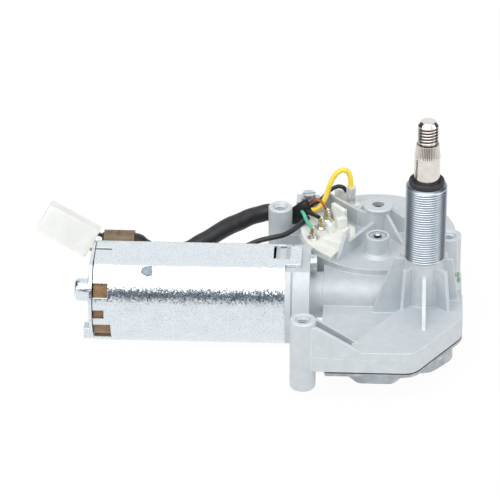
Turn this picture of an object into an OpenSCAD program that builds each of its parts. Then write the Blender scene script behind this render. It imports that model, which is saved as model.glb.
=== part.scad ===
// Rear wiper motor: a direct-current motor in a flatted steel can drives a worm,
// a nylon worm wheel turns a crank, and a rod and lever swing the output shaft.
// Origin: output shaft axis at the shoulder of the threaded sleeve. +Z runs up the
// shaft, the motor lies along -X, and +Y points from the shaft to the gear pot.

/* [Output shaft] */
// Diameter of the output shaft
shaft_d = 10; // [9:0.5:11]
// Height of the shaft tip above the sleeve shoulder
shaft_reach = 59.2; // [52:0.1:70]
// Outside diameter of the thread on the shaft tip
tip_d = 8; // [6:0.5:8.5]
// Length of the thread on the shaft tip
tip_len = 8.8; // [6:0.1:12]
// Diameter of the undercut below the tip thread
neck_d = 6.4; // [5:0.1:7]
// Length of the undercut below the tip thread
neck_len = 0.8; // [0.4:0.1:2]
// Small end of the knurled taper
taper_small_d = 8.8; // [8.2:0.1:8.9]
// Length of the knurled taper
taper_len = 5.6; // [3:0.1:8]

/* [Threaded sleeve] */
// Outside diameter of the sleeve thread
sleeve_d = 16; // [15:0.5:20]
// Height of the sleeve above its shoulder
sleeve_len = 32.2; // [28:0.1:40]
// Chamfer at the top of the sleeve
sleeve_chamfer = 0.8; // [0.3:0.1:1]
// Length of the plain spigot pressed into the housing column
spigot_len = 8; // [5:0.5:12]
// Wall of the spigot
spigot_wall = 0.8; // [0.6:0.1:1]
// Length of the upper bush
upper_bush_len = 10; // [6:0.5:14]
// Length of the lower bush
lower_bush_len = 13; // [8:0.5:16]
// Height of the rubber seal above the sleeve
seal_h = 2.4; // [1.5:0.1:4]
// Outside diameter of the rubber seal
seal_d = 13.8; // [13:0.1:14]
// Depth of the seal lip inside the sleeve
seal_lip = 2.2; // [1.5:0.1:3]

/* [Housing] */
// Distance from the output shaft back to the motor axis
motor_y = 12; // [11:0.1:14]
// Drop from the sleeve shoulder to the motor axis
motor_drop = 25.1; // [24.5:0.1:26]
// Distance from the output shaft to the wheel axle, measured along the motor
wheel_offset = 18.4; // [17:0.1:20]
// Outside radius of the gear pot
pot_r = 31.4; // [31:0.1:33]
// Wall of the gear pot
pot_wall = 2.5; // [2:0.1:2.8]
// Thickness of the gear pot floor
pot_floor_t = 2.5; // [2:0.1:3]
// Drop from the sleeve shoulder to the outside of the pot floor
pot_drop = 14.2; // [13.6:0.1:14.6]
// Drop from the sleeve shoulder to the face that the cover closes
base_drop = 27.7; // [27.4:0.1:28]
// Thickness of the web between the worm tube and the front chamber
web_t = 2.4; // [1.8:0.1:3]
// Height of the front chamber above the cover face
chamber_h = 8.7; // [7:0.1:10]
// Wall of the front chamber
chamber_wall = 2.2; // [1.6:0.1:3]
// Distance from the output shaft to the front wall
front_y = 42.4; // [41:0.1:44]
// Distance from the output shaft to the right wall
right_x = 15.3; // [15:0.1:17]
// Outside radius of the worm tube
tube_r = 8.3; // [8:0.1:8.6]
// Bore radius of the worm tube
tube_bore_r = 6.6; // [6.5:0.1:6.8]
// Outside diameter of the column under the sleeve
column_d = 14.4; // [14.2:0.1:15.6]
// Length of the column below the cover face
column_tail = 4.9; // [4.5:0.1:5.3]
// Thickness of the ribs round the column
rib_t = 1.4; // [1:0.1:2]

/* [Mounting posts] */
// Drop from the sleeve shoulder to the top face of the posts
post_drop = 6.6; // [5:0.1:8]
// Length of a mounting post
post_len = 30; // [26:0.5:32]
// Outside diameter of a mounting post
post_d = 10; // [9:0.1:11]
// Core diameter of the threaded hole in a post
post_core_d = 5; // [4:0.1:5.5]
// Depth of the threaded hole in the front post
post_hole_depth = 14.2; // [10:0.2:16]
// How much shallower the holes of the rear posts are
post_hole_step = 0.2; // [0.1:0.1:1]
// Depth of the countersink in a post
post_sink = 1.2; // [0.8:0.1:1.6]
// Mouth diameter of the hole in a post
post_mouth_d = 6.6; // [6:0.1:7]
// Diameter of the top of the wheel boss
boss_cap_d = 12; // [11:0.1:13]
// Height of the wheel boss above the pot floor
boss_h = 12.5; // [9:0.1:14]
// Diameter of the hollow boss in front of the wheel boss
rivet_boss_d = 9.2; // [8.4:0.1:10]
// Height of the hollow boss
rivet_boss_h = 8.3; // [6:0.1:10]

/* [Gears] */
// Teeth on the worm wheel
wheel_teeth = 50; // [46:1:52]
// Pitch radius of the worm
worm_r = 5.2; // [5:0.1:5.4]
// Height of the teeth above the pitch circle
addendum = 0.8; // [0.6:0.1:0.9]
// Depth of the teeth below the pitch circle
dedendum = 1.1; // [1:0.1:1.2]
// Face width of the worm wheel
wheel_w = 5.6; // [4.6:0.1:5.8]
// Gap between the flanks of worm and wheel
flank_gap = 0.25; // [0.2:0.05:0.4]
// Length of the worm thread
worm_len = 24; // [18:0.5:26]
// Diameter of the wheel axle
axle_d = 4.9; // [4:0.1:5.4]

/* [Crank gear] */
// Distance from the output shaft to the pin in the lever
lever_len = 12; // [11:0.1:12.4]
// Thickness of the lever
lever_t = 3; // [2:0.1:3]
// Thickness of the connecting rod
rod_t = 2.4; // [1.6:0.1:2.4]
// Distance from the wheel axle to the crank pin
crank_r = 9.5; // [8:0.1:10]
// Diameter of the crank pin and the lever pin
pin_d = 5; // [4:0.1:5]
// Outside radius of the eyes of the rod
eye_r = 4; // [3.6:0.1:4.1]

/* [Motor] */
// Outside radius of the motor can
can_r = 19.6; // [19.4:0.1:20]
// Distance from the motor axis to the flats of the can
can_flat = 17.6; // [17.4:0.1:18]
// Wall of the motor can
can_wall = 1.4; // [1:0.1:1.6]
// Length of the motor can
can_len = 75.2; // [74:0.1:80]
// Distance from the output shaft to the open end of the can
can_x = 54.2; // [54:0.1:56]
// Thickness of the end plate
end_plate_t = 1.2; // [1:0.1:2]
// Length of the bearing cup on the end plate
bearing_cup_len = 7; // [6:0.1:9]
// Outside radius of the bearing cup
bearing_cup_r = 4.5; // [4.4:0.1:6]
// Diameter of the armature shaft
armature_d = 6; // [5:0.1:6]
// Outside radius of the armature core
core_r = 13.4; // [12.5:0.1:13.6]
// Length of the armature core
core_len = 36; // [30:0.5:38]
// Thickness of a magnet
magnet_t = 3.6; // [3:0.1:3.8]
// Length of a magnet
magnet_len = 42; // [36:0.5:44]
// Outside radius of the commutator
commutator_r = 7; // [6:0.1:8]

/* [Cover] */
// Thickness of the gasket
gasket_t = 0.6; // [0.4:0.1:0.8]
// Thickness of the cover sheet
cover_t = 1.2; // [1:0.1:1.4]
// Depth of the cover pan below the cover face
pan_depth = 15; // [14.8:0.1:17]

/* [Wiring] */
// Thickness of the terminal plate
plate_t = 1.8; // [1.4:0.1:2.4]
// Height of a terminal tab above the terminal plate
tab_h = 4.8; // [3.5:0.1:6]
// Diameter of the harness sheath
sheath_d = 7.2; // [6:0.1:7.4]
// Diameter of the insulated leads
lead_d = 2.1; // [1.8:0.1:2.2]
// Length of the plug housing
plug_len = 22.4; // [20:0.1:28]
// Width of the plug housing
plug_w = 12.4; // [11.4:0.1:14]
// Height of the plug housing
plug_h = 6.5; // [6:0.5:8]

/* [Hidden] */
$fn = 48;
seat_gap = 0.02;
run_gap = 0.04;
part_gap = 0.3;
worm_slices = 68;

shaft_r = shaft_d / 2;
tip_r = tip_d / 2;
motor_z = -motor_drop;
wheel_x = -wheel_offset;
base_z = -base_drop;
pot_z = -pot_drop;
ceiling_z = pot_z - pot_floor_t;
web_z = base_z + web_t;
chamber_z = base_z + chamber_h;
pot_inner_r = pot_r - pot_wall;
wheel_tip_r = pot_inner_r - 0.5;
wheel_pitch_r = wheel_tip_r - addendum;
wheel_y = motor_y + worm_r + wheel_pitch_r;
wheel_root_r = wheel_pitch_r - dedendum;
tooth_pitch = 2 * PI * wheel_pitch_r / wheel_teeth;
tooth_w = tooth_pitch / 2 - flank_gap;
lead_angle = atan(tooth_pitch / (2 * PI * worm_r));
worm_mid_x = wheel_x;
column_r = column_d / 2;
bore_r = shaft_r + 0.4;
bush_r = bore_r + spigot_wall;
column_end_z = base_z - column_tail;
pan_z = base_z - pan_depth;
cover_z = base_z - gasket_t;
cover_low_z = cover_z - cover_t;
tube_end_x = 6;
tube_floor_x = 4;
tube_step_x = wheel_x + worm_len / 2 + 0.4;
end_bore_r = armature_d / 2 + 1.7;
flange_t = 9.6;
flange_x = flange_t - can_x;
rim_len = 2.2;
groove_len = 0.8;
groove_depth = 1;
collar_len = 5;
collar_r = tube_r + 0.8;
spigot_depth = 4;
can_end_x = -can_x - can_len;
plate_x = can_end_x - 0.4;
cup_x = plate_x - end_plate_t;
post_r = post_d / 2;
post_top_z = -post_drop;
post_a = [-46.1, -38.6];
post_b = [-57.8, 50.4];
pot_grow = pot_r / 31.4;
post_c = [wheel_x + 28.2 * pot_grow, wheel_y - 15.4 * pot_grow];
post_low_z = post_top_z - post_len;
boss_z = pot_z + boss_h;
boss_r = 4.6;
boss_cap_r = boss_cap_d / 2;
cap_t = 1.5;
rivet_y = wheel_y - 18;
wall_t = 1.3;
fence_z = pot_z + 6;
shoulder_x = -39.4;

// Ribs of the column: direction, foot radius, foot height, top radius, top height
column_ribs = [[180, 20.2, web_z, 11.9, -0.6], [225, 12.6, web_z, 11, -2.2],
    [270, 24.4, chamber_z, 8.6, -5.1], [315, 13.9, chamber_z, 11.7, -2.1],
    [0, 13.6, chamber_z, 11, -0.8], [45, 15, chamber_z, 12.2, -2.8],
    [90, 13, web_z, 11, -2.8], [135, 15, web_z, 13, -3.2]];
// Gussets of the wheel boss: direction, length, height at the boss, height at the end
boss_gussets = [[45, 13, boss_h - 1.6, 3], [0, 17, boss_h - 1.6, 2.5],
    [-45, 14.8, boss_h - 2, 0.4]];
cover_screw_at = [[-35, -31], [-8.5, -37], [4.6, -23.6], post_c,
    [wheel_x - 22 * pot_grow, wheel_y + 25.5 * pot_grow],
    [wheel_x + 22 * pot_grow, wheel_y + 25.5 * pot_grow]];
cover_screw_r = 1.5;
cover_ear_r = 4.2;

// Terminals on the terminal plate, from the front one to the rear one
tab_at = [[wheel_x - 25.7, wheel_y - 9.4], [wheel_x - 22.6, wheel_y - 1.1], [wheel_x - 20.3, wheel_y + 5.7]];
tab_turn = 70;
tab_w = 3.2;
tab_t = 0.8;
slot_mid = tab_at[1];
slot_half = [11, 2.4];
plate_z = pot_z + plate_t;
rear_block_at = [wheel_x - 13.1, wheel_y + 17.7];
spade_at = rear_block_at + [2, -2.9];
earth_at = [wheel_x - 28.2 * pot_grow, wheel_y + 17.6 * pot_grow];
earth_z = pot_z + 4.4;
disc_t = 0.4;
finger_len = 8.5;
finger_z = ceiling_z - 0.2;

lever_gap = 0.5;
washer_t = 0.8;
lever_z = column_end_z - washer_t - 0.2;
lever_low_z = lever_z - lever_t;
rod_z = lever_low_z - part_gap;
rod_low_z = rod_z - rod_t;
pin_r = pin_d / 2;
rod_pivots = norm([wheel_x, wheel_y]);
rod_len = sqrt(rod_pivots * rod_pivots - lever_len * lever_len);
wheel_dir = atan2(wheel_y, wheel_x);
lever_dir = wheel_dir + acos(lever_len / rod_pivots);
lever_end = lever_len * [cos(lever_dir), sin(lever_dir)];
crank_gamma = acos(crank_r / (2 * rod_len));
crank_dir = atan2(lever_end[1] - wheel_y, lever_end[0] - wheel_x) + crank_gamma;
crank_end = [wheel_x, wheel_y] + crank_r * [cos(crank_dir), sin(crank_dir)];
rod_dir = atan2(crank_end[1] - lever_end[1], crank_end[0] - lever_end[0]);

wheel_low_z = motor_z - wheel_w / 2;
wheel_top_z = motor_z + wheel_w / 2;
finger_slope = asin((finger_z - 0.75 - wheel_top_z - disc_t - 0.4) / finger_len);
hub_r = 6;
hub_low_z = wheel_low_z - 1.6;
hub_top_z = ceiling_z - part_gap - 0.6;
axle_r = axle_d / 2;
axle_low_z = hub_low_z - 2.4;

armature_r = armature_d / 2;
brush_x = can_end_x + 2.6;
commutator_x = can_end_x + 6;
commutator_len = 9;
core_x = -can_x - 14.5 - core_len;
winding_over = 5;
winding_r = core_r - 1;
magnet_r = can_r - can_wall - 0.1;
magnet_x = core_x + (core_len - magnet_len) / 2;
bearing_len = 7;
bearing_r = 6;
bearing_x = -can_x - spigot_depth;
screw_off = 14.2;
flange_hole_r = 1.7;
sheath_r = sheath_d / 2;
lead_r = lead_d / 2;
clip_r = sheath_r + 1;
clip_x = can_end_x + 1.6;
clip_len = 12.2;
clip_tilt = 24;
clip_reach = can_r + clip_r;
clip_y = motor_y + clip_reach * cos(clip_tilt);
clip_z = motor_z + clip_reach * sin(clip_tilt);
plug_turn = [-78.9, -27.8, 173.7];
plug_at = [clip_x - 4.5, clip_y - 0.1, clip_z - 0.35];

// Routes of the cords, from the terminals outwards
sheath_route = [[-55.5, 59.4, -15.8], [-59.5, 59.8, -15], [-63.2, 59.6, -14.6], [-66.4, 58.8, -15.1],
    [-70.4, 57, -15.5], [-74.3, 54.6, -16.4], [-78.3, 52, -17], [-82.2, 49, -18], [-86.1, 46, -19.3],
    [-90, 43.4, -20.4], [-93.9, 41, -22], [-98.7, 39.5, -22.7], [-103.9, 38.4, -22.4],
    [-109.4, 36.9, -20.6], [-113, 35.2, -17.6], [-115.6, 34.1, -15.3], [-128.6, 34.1, -15.3]];
tail_route = [[-57, 59.6, -15.6], [-53.4, 57.6, -15.4], [-50.3, 56.6, -13], [-47.6, 55.8, -10.4],
    [-45.9, 55.3, -8.9]];
yellow_route = [[-47.6, 55.8, -10.4], [-45.2, 54.9, -10.5], [-42.8, 55, -9.9], [-40.9, 56.3, -8],
    [-39.2, 58, -4.3], [-37.7, 58.5, 0.6], [-35.3, 59, 4.5], [-32.5, 59.4, 5.7], [-30.2, 59.6, 3.4],
    [-29.5, 59.6, -2.4]];
black_route = [[-47.2, 56, -9.6], [-44, 57.4, -8.6], [-41.6, 58.8, -7.6], [-39.7, 60, -6],
    [-38.1, 61, -4.7], [-36.1, 62, -3.7], [-34.3, 62.5, -3.5], [-32.6, 62.4, -4], [-31.4, 62.2, -5.6]];
green_route = [[-49.4, 55.6, -11.6], [-48.6, 50.5, -9.6], [-47.7, 47, -9.8], [-46.6, 42.5, -9.4],
    [-45.2, 38.2, -8.8], [-44.7, 36.6, -9.4]];
stub_route = [[-47.8, 55.4, -10.6], [-46.4, 51.4, -9.6], [-44.4, 48.6, -9.2], [-42, 45.6, -8.8]];
braid_route = [[-46.8, 55.6, -9], [-45.4, 54.5, -6.4], [-43.8, 53.8, -5.1], [-41.9, 52.6, -4.9],
    [-40.3, 51.5, -6.1], [-39.4, 50.9, -7.8]];
motor_route = [[-46.6, 48.6, -10.6], [-49.7, 44.6, -11.6], [-52.8, 41.4, -12.8],
    [-56.3, 38.6, -13.4], [-60.7, 37, -13.8], [-66, 36, -14.8], [-74, 34.6, -18],
    [-84, 33.2, -22], [-98, 33, -24], [-112, 33, -23.6], [-119, 32.9, -22.4],
    [-123, 32.2, -21.1], [-125.8, 30.2, -19.8], [-126.6, 28.2, -19.1]];
plug_wires = [[[-128.2, 34.4, -13.4], [-129.6, 34.6, -12.6], [-131, 34.55, -12.3], [-134.6, 34.95, -10.4]],
    [[-128.2, 33.2, -15.6], [-130.4, 33.7, -15.9], [-132.3, 34, -15.6], [-136.3, 34.4, -13.5]],
    [[-128.2, 34.4, -17.2], [-131, 33.9, -18.9], [-134, 33.5, -18.7], [-138, 33.95, -16.6]]];

function cross3(a, b) = cross(a, b) / max(norm(cross(a, b)), 0.0001);
function tangent(p, i) = let (n = len(p) - 1, d = p[min(i + 1, n)] - p[max(i - 1, 0)]) d / norm(d);
function ring_of(c, t, r, n, flat) = let (s = cross3(t, abs(t[2]) > 0.9 ? [1, 0, 0] : [0, 0, 1]),
    w = cross3(t, s)) [for (k = [0:n - 1])
    c + r * (flat * cos(360 * k / n) * s + sin(360 * k / n) * w)];
// Corner b of an outline rounded over a length t along both of its sides
function bend(a, b, c, t) = let (p = b + t * (a - b) / norm(a - b), q = b + t * (c - b) / norm(c - b))
    [for (s = [0:0.2:1]) (1 - s) * (1 - s) * p + 2 * s * (1 - s) * b + s * s * q];
function soft(p, t) = let (n = len(p)) [for (i = [0:n - 1])
    each t[i] > 0 ? bend(p[(i + n - 1) % n], p[i], p[(i + 1) % n], t[i]) : [p[i]]];
function arc(c, r, a0, a1, n) = [for (i = [0:n])
    c + r * [cos(a0 + (a1 - a0) * i / n), sin(a0 + (a1 - a0) * i / n)]];

// A cord along a route of points; flat below 1 presses it thinner sideways
module cord(route, r, sides = 8, flat = 1) {
    n = len(route);
    rings = [for (i = [0:n - 1]) each ring_of(route[i], tangent(route, i), r, sides, flat)];
    quads = [for (i = [0:n - 2], k = [0:sides - 1]) let (j = (k + 1) % sides)
        [i * sides + k, i * sides + j, (i + 1) * sides + j, (i + 1) * sides + k]];
    ends = [[for (k = [sides - 1:-1:0]) k], [for (k = [0:sides - 1]) (n - 1) * sides + k]];
    polyhedron(rings, concat(quads, ends), convexity = 6);
}

module at_wheel(z = 0) { translate([wheel_x, wheel_y, z]) children(); }

module rod_x(x0, x1, r, off = 0) {
    translate([x0, motor_y, motor_z + off]) rotate([0, 90, 0]) cylinder(r = r, h = x1 - x0);
}

// The round section with two flats that the can, the flange and the end plate share
module flatted(x0, x1, r, flat) {
    translate([x0, motor_y, motor_z]) rotate([90, 0, 90]) linear_extrude(x1 - x0)
        intersection() {
            circle(r = r);
            square([2 * r + 2, 2 * flat], center = true);
        }
}

// Outline of the face that the gasket and the cover close
module base_outline() {
    translate([wheel_x, wheel_y]) circle(r = pot_r);
    polygon(soft([[shoulder_x + 2, -front_y], [-3.6, -front_y], [right_x, -14],
        [right_x, post_c[1] + post_r], [wheel_x, wheel_y], [shoulder_x, motor_y + 20],
        [shoulder_x, -front_y + 8]], [0, 4, 3.4, 3, 0, 0, 0]));
    for (p = [cover_screw_at[4], cover_screw_at[5]]) translate(p) circle(r = cover_ear_r);
}

// Outline of the deep pan in the cover, grown by an amount
module pan_outline(grow = 0) {
    translate([wheel_x, wheel_y]) circle(r = pot_inner_r - 1.1 + grow);
    polygon(soft([[-28.8 - grow, motor_y + 18], [-28.8 - grow, -17.6 - grow],
        [-24.4 - grow / 2, -24.6 - grow], [-12 + grow / 2, -24.6 - grow], [-7 + grow / 2, -17 - grow],
        [3 + grow / 2, -15.4 - grow], [10.8 + grow, -5.4 - grow / 2], [10.8 + grow, post_c[1] - 4]],
        [0, 2, 2, 2, 2, 3, 3, 0]));
}

module worm_tube_space(r) { rod_x(shoulder_x - 8, tube_end_x + 2, r); }

module post(at, r) {
    translate([at[0], at[1], post_low_z]) rotate_extrude()
        polygon([[0, 0], [r - 1, 0], [r - 0.3, 0.3], [r, 1], [r, post_len - 0.4],
            [r - 0.4, post_len], [0, post_len]]);
}

// Tapping hole with the cone that the drill leaves at its end
module post_hole(at, depth) {
    tip = 0.3 * post_core_d;
    translate([at[0], at[1], post_top_z - depth]) {
        cylinder(r = post_core_d / 2, h = depth + 1);
        translate([0, 0, -tip]) cylinder(r1 = 0, r2 = post_core_d / 2, h = tip);
    }
    translate([at[0], at[1], post_top_z - post_sink])
        cylinder(r1 = post_core_d / 2, r2 = post_mouth_d / 2, h = post_sink + 0.01);
}

// A flat rib standing on the column or the boss, drawn in its own radial plane
module radial_rib(at, turn, thick, points) {
    translate([at[0], at[1], 0]) rotate([0, 0, turn]) translate([0, thick / 2, 0])
        rotate([90, 0, 0]) linear_extrude(thick) polygon(points);
}

module housing_posts() {
    post(post_a, post_r);
    post(post_b, post_r - 0.2);
    // arm that carries the rear left post
    translate([post_b[0], post_b[1] - 5, base_z]) cube([24, 9, -base_z - 17]);
    // block of the right post, with its front face running down to the web
    difference() {
        translate([post_c[0] - post_r, 0, 0]) rotate([90, 0, 90]) linear_extrude(2 * post_r - 0.1)
            polygon([[post_c[1] - 3.6, post_top_z], [post_c[1], post_top_z], [post_c[1], base_z],
                [12, base_z], [12, web_z], [18.2, web_z]]);
        // chamfer down its right edge
        translate([post_c[0] + post_r - 0.1, post_c[1] - 3.6, post_top_z]) rotate([-22.1, 0, 0])
            rotate([0, 0, 45]) cube([2.1, 2.1, 60], center = true);
    }
    translate([post_c[0], post_c[1], base_z]) cylinder(r = post_r, h = post_top_z - base_z);
    // ribs of the front left post, in line with the front wall
    translate([0, -front_y + 1.6, 0]) rotate([90, 0, 0]) linear_extrude(1.6)
        polygon([[post_a[0], base_z], [-22, base_z], [-22, chamber_z - 0.2],
            [-23.4, chamber_z], [-40.7, -8.6], [post_a[0], -8.6]]);
    translate([0, -front_y + 8.4, 0]) rotate([90, 0, 0]) linear_extrude(1.4)
        polygon([[post_a[0], base_z], [-25, base_z], [-25, chamber_z + 0.4],
            [-26.2, chamber_z + 0.8], [-41, -8.8], [post_a[0], -8.8]]);
    // web plate round the front left post
    translate([0, 0, base_z]) linear_extrude(web_t)
        polygon([[post_a[0], -front_y], [-30, -front_y], [-30, -20], [shoulder_x, -18],
            [post_a[0], -front_y + 9]]);
}

module housing_column() {
    translate([0, 0, column_end_z]) cylinder(r = column_r, h = -column_end_z);
    for (rib = column_ribs)
        radial_rib([0, 0], rib[0], rib_t, [[column_r - 1.4, base_z + 1], [rib[1], base_z + 1],
            [rib[1], rib[2]], [rib[3], rib[4]], [column_r - 1.4, rib[4]]]);
}

module housing_flange() {
    difference() {
        flatted(-can_x, flange_x, can_r, can_flat - can_wall);
        // groove behind the rim, on the round sides only
        difference() {
            rod_x(-can_x + rim_len, -can_x + rim_len + groove_len, can_r + 2);
            rod_x(-can_x, flange_x, can_r - groove_depth);
        }
    }
    flatted(-can_x - spigot_depth, -can_x, can_r - can_wall - seat_gap,
        can_flat - can_wall - seat_gap);
    // lug that shows in the window of the can
    translate([-can_x - 2.4, motor_y - 2, motor_z + can_flat - can_wall - 2])
        cube([2.4, 8.5, 2 + can_wall - 0.6]);
}

module pot_walls() {
    // wheel boss with its cap and gussets
    at_wheel(pot_z - 0.5) cylinder(r = boss_r, h = boss_h + 0.5 - cap_t + 0.2);
    at_wheel(boss_z - cap_t) rotate_extrude()
        polygon([[0, 0], [boss_cap_r - 0.5, 0], [boss_cap_r, 0.5], [boss_cap_r, cap_t - 0.4],
            [boss_cap_r - 0.4, cap_t], [0, cap_t]]);
    for (g = boss_gussets)
        radial_rib([wheel_x, wheel_y], g[0], wall_t, [[2, pot_z - 0.5], [g[1], pot_z - 0.5],
            [g[1], pot_z + g[3]], [boss_r, pot_z + g[2]], [2, pot_z + g[2]]]);
    // hollow boss with a flared foot
    translate([wheel_x, rivet_y, pot_z - 0.5]) cylinder(r = rivet_boss_d / 2, h = rivet_boss_h + 0.5);
    translate([wheel_x, rivet_y, pot_z - 0.1])
        cylinder(r1 = rivet_boss_d / 2 + 1.4, r2 = rivet_boss_d / 2, h = 1.5);
    // fence in front of the terminal plate, with a V notch near its end
    radial_rib([wheel_x, wheel_y], 238.5, wall_t, [[2, pot_z - 0.5], [30.8, pot_z - 0.5],
        [30.8, pot_z + 0.4], [24.6, fence_z + 3.8], [22.4, fence_z - 0.2], [2, fence_z]]);
    // fence behind the terminal plate
    radial_rib([wheel_x, wheel_y], 149, wall_t, [[2, pot_z - 0.5], [9.6, pot_z - 0.5],
        [9.6, fence_z + 1.4], [2, fence_z + 1.4]]);
    radial_rib([wheel_x - 8.1, wheel_y + 4.8], 133, wall_t, [[-0.6, pot_z - 0.5],
        [pot_r - 12, pot_z - 0.5], [pot_r - 12, fence_z + 1.4], [-0.6, fence_z + 1.4]]);
    radial_rib([wheel_x - 8.1, wheel_y + 4.8], 70, wall_t, [[0, pot_z - 0.5],
        [7.2, pot_z - 0.5], [7.2, fence_z + 1.4], [0, fence_z + 1.4]]);
    // lugs for the earth screw and the sheath
    translate([earth_at[0] - 5, earth_at[1] - 2.3, base_z]) cube([9.4, 6.6, earth_z - base_z]);
}

module gear_housing() {
    color("#c3c9cc") difference() {
        union() {
            difference() {
                at_wheel(base_z) cylinder(r = pot_r, h = pot_z - base_z);
                // sloping front of the pot over the worm tube
                translate([wheel_x - 40, motor_y + 4.7, pot_z]) rotate([-34, 0, 0])
                    translate([0, -12, 0]) cube([80, 12, 8]);
            }
            rod_x(-can_x + 2, tube_end_x, tube_r);
            rod_x(-can_x + 2, flange_x + collar_len, collar_r);
            // shoulder behind the worm tube
            translate([shoulder_x, motor_y, base_z])
                cube([tube_end_x - 2 - shoulder_x, 20, motor_z + tube_r - base_z]);
            translate([0, 0, base_z]) linear_extrude(web_t) base_outline();
            translate([0, 0, base_z]) linear_extrude(chamber_h)
                polygon(soft([[-28.4, -front_y + 5.2], [-23.4, -front_y], [-3.6, -front_y],
                    [right_x, -14], [right_x, 4.4], [4, 6], [-7.2, -5.2]], [0, 0, 4, 3.4, 1.5, 0, 0]));
            housing_posts();
            housing_column();
            housing_flange();
            pot_walls();
        }
        // gear space, opened through the wall of the worm tube
        at_wheel(base_z - 1.2) cylinder(r = pot_inner_r, h = ceiling_z - base_z + 1.2);
        // worm space and the bearing seats at its ends
        rod_x(bearing_x - 1, bearing_x + bearing_len, bearing_r);
        rod_x(bearing_x + bearing_len - 0.1, tube_step_x, tube_bore_r);
        rod_x(tube_step_x - 0.1, tube_floor_x, end_bore_r);
        // lightening pocket in the flange
        difference() {
            rod_x(bearing_x - 1, -can_x + 5, can_r - can_wall - 3.2);
            rod_x(bearing_x - 2, -can_x + 6, bearing_r + 2);
            for (s = [1, -1]) rod_x(bearing_x - 2, -can_x + 6, 4.2, s * screw_off);
        }
        for (s = [1, -1]) rod_x(bearing_x - 1, flange_x + 1, flange_hole_r, s * screw_off);
        // front chamber
        difference() {
            translate([0, 0, base_z - 1]) linear_extrude(chamber_h - chamber_wall + 1)
                polygon([[-24, -front_y + 4.6], [-22.6, -front_y + 2.4], [-4.8, -front_y + 2.4],
                    [right_x - 2.4, -13.4], [right_x - 2.4, 2.4], [4, 3], [-4.4, -5]]);
            translate([0, 0, base_z - 2]) cylinder(r = column_r, h = 14);
            for (i = [1, 2]) translate([cover_screw_at[i][0], cover_screw_at[i][1], base_z])
                cylinder(r = 3.4, h = chamber_h);
        }
        // bore of the column, with the seats of the lower bush and the sleeve
        translate([0, 0, column_end_z - 1]) cylinder(r = bore_r, h = 2 - column_end_z);
        translate([0, 0, column_end_z - 1]) cylinder(r = bush_r, h = lower_bush_len + 1);
        translate([0, 0, -spigot_len]) cylinder(r = bush_r, h = spigot_len + 1);
        post_hole(post_a, post_hole_depth);
        for (p = [post_b, post_c]) post_hole(p, post_hole_depth - post_hole_step);
        at_wheel(ceiling_z - 1) cylinder(r = axle_r, h = boss_z - ceiling_z + 2);
        translate([wheel_x, rivet_y, ceiling_z - 1]) cylinder(r = 1.95, h = 14);
        translate([wheel_x, rivet_y, pot_z + rivet_boss_h - 0.9])
            cylinder(r = rivet_boss_d / 2 - 0.9, h = 1);
        // slot that the terminals pass through
        translate([slot_mid[0], slot_mid[1], ceiling_z - 1]) rotate([0, 0, tab_turn])
            translate([-slot_half[0], -slot_half[1], 0])
                cube([2 * slot_half[0], 2 * slot_half[1], pot_floor_t + 2]);
        translate([earth_at[0], earth_at[1], earth_z - 9]) cylinder(r = 1.6, h = 10);
        for (p = cover_screw_at) translate([p[0], p[1], base_z - 1])
            cylinder(r = cover_screw_r, h = web_t + 0.6);
    }
}

module threaded_sleeve() {
    color("#b4bcc4") rotate_extrude() difference() {
        polygon([[bore_r, -spigot_len + seat_gap], [bush_r - seat_gap, -spigot_len + seat_gap],
            [bush_r - seat_gap, 0], [sleeve_d / 2, 0], [sleeve_d / 2, sleeve_len - sleeve_chamfer],
            [sleeve_d / 2 - sleeve_chamfer, sleeve_len], [bore_r, sleeve_len]]);
        // seat of the upper bush and the lip of the seal
        translate([0, sleeve_len - seal_lip - upper_bush_len - 0.2])
            square([bush_r, upper_bush_len + seal_lip + 1]);
    }
}

module upper_bush() {
    color("#a98d5c") translate([0, 0, sleeve_len - seal_lip - upper_bush_len - 0.2 + seat_gap])
        difference() {
            cylinder(r = bush_r - seat_gap, h = upper_bush_len);
            translate([0, 0, -1]) cylinder(r = shaft_r + run_gap, h = upper_bush_len + 2);
        }
}

module lower_bush() {
    color("#a98d5c") translate([0, 0, column_end_z]) difference() {
        cylinder(r = bush_r - seat_gap, h = lower_bush_len - seat_gap);
        translate([0, 0, -1]) cylinder(r = shaft_r + run_gap, h = lower_bush_len + 2);
    }
}

module shaft_seal() {
    color("#2a2a2c") rotate_extrude() polygon([[shaft_r + run_gap, sleeve_len - seal_lip],
        [bush_r - seat_gap, sleeve_len - seal_lip], [bush_r - seat_gap, sleeve_len + seat_gap],
        [seal_d / 2, sleeve_len + seat_gap], [seal_d / 2, sleeve_len + seal_h - 0.8],
        [seal_d / 2 - 0.7, sleeve_len + seal_h], [shaft_r + run_gap, sleeve_len + seal_h]]);
}

module output_shaft() {
    neck_z = shaft_reach - tip_len - neck_len;
    color("#b9b1a6") rotate_extrude() polygon([[0, lever_low_z], [shaft_r - 0.4, lever_low_z],
        [shaft_r, lever_low_z + 0.4], [shaft_r, neck_z - taper_len], [taper_small_d / 2, neck_z],
        [neck_d / 2, neck_z], [neck_d / 2, neck_z + neck_len], [tip_r, neck_z + neck_len],
        [tip_r, shaft_reach - 0.7], [tip_r - 0.7, shaft_reach], [0, shaft_reach]]);
}

module thrust_washer() {
    color("#d9d9d4") translate([0, 0, lever_z + 0.1]) difference() {
        cylinder(r = column_r, h = washer_t);
        translate([0, 0, -1]) cylinder(r = shaft_r + 0.05, h = washer_t + 2);
    }
}

// A flat link with a round eye at each end, along +X
module link_plate(length, r0, r1, waist, thick) {
    linear_extrude(thick) {
        circle(r = r0);
        translate([length, 0]) circle(r = r1);
        translate([0, -waist / 2]) square([length, waist]);
    }
}

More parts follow.
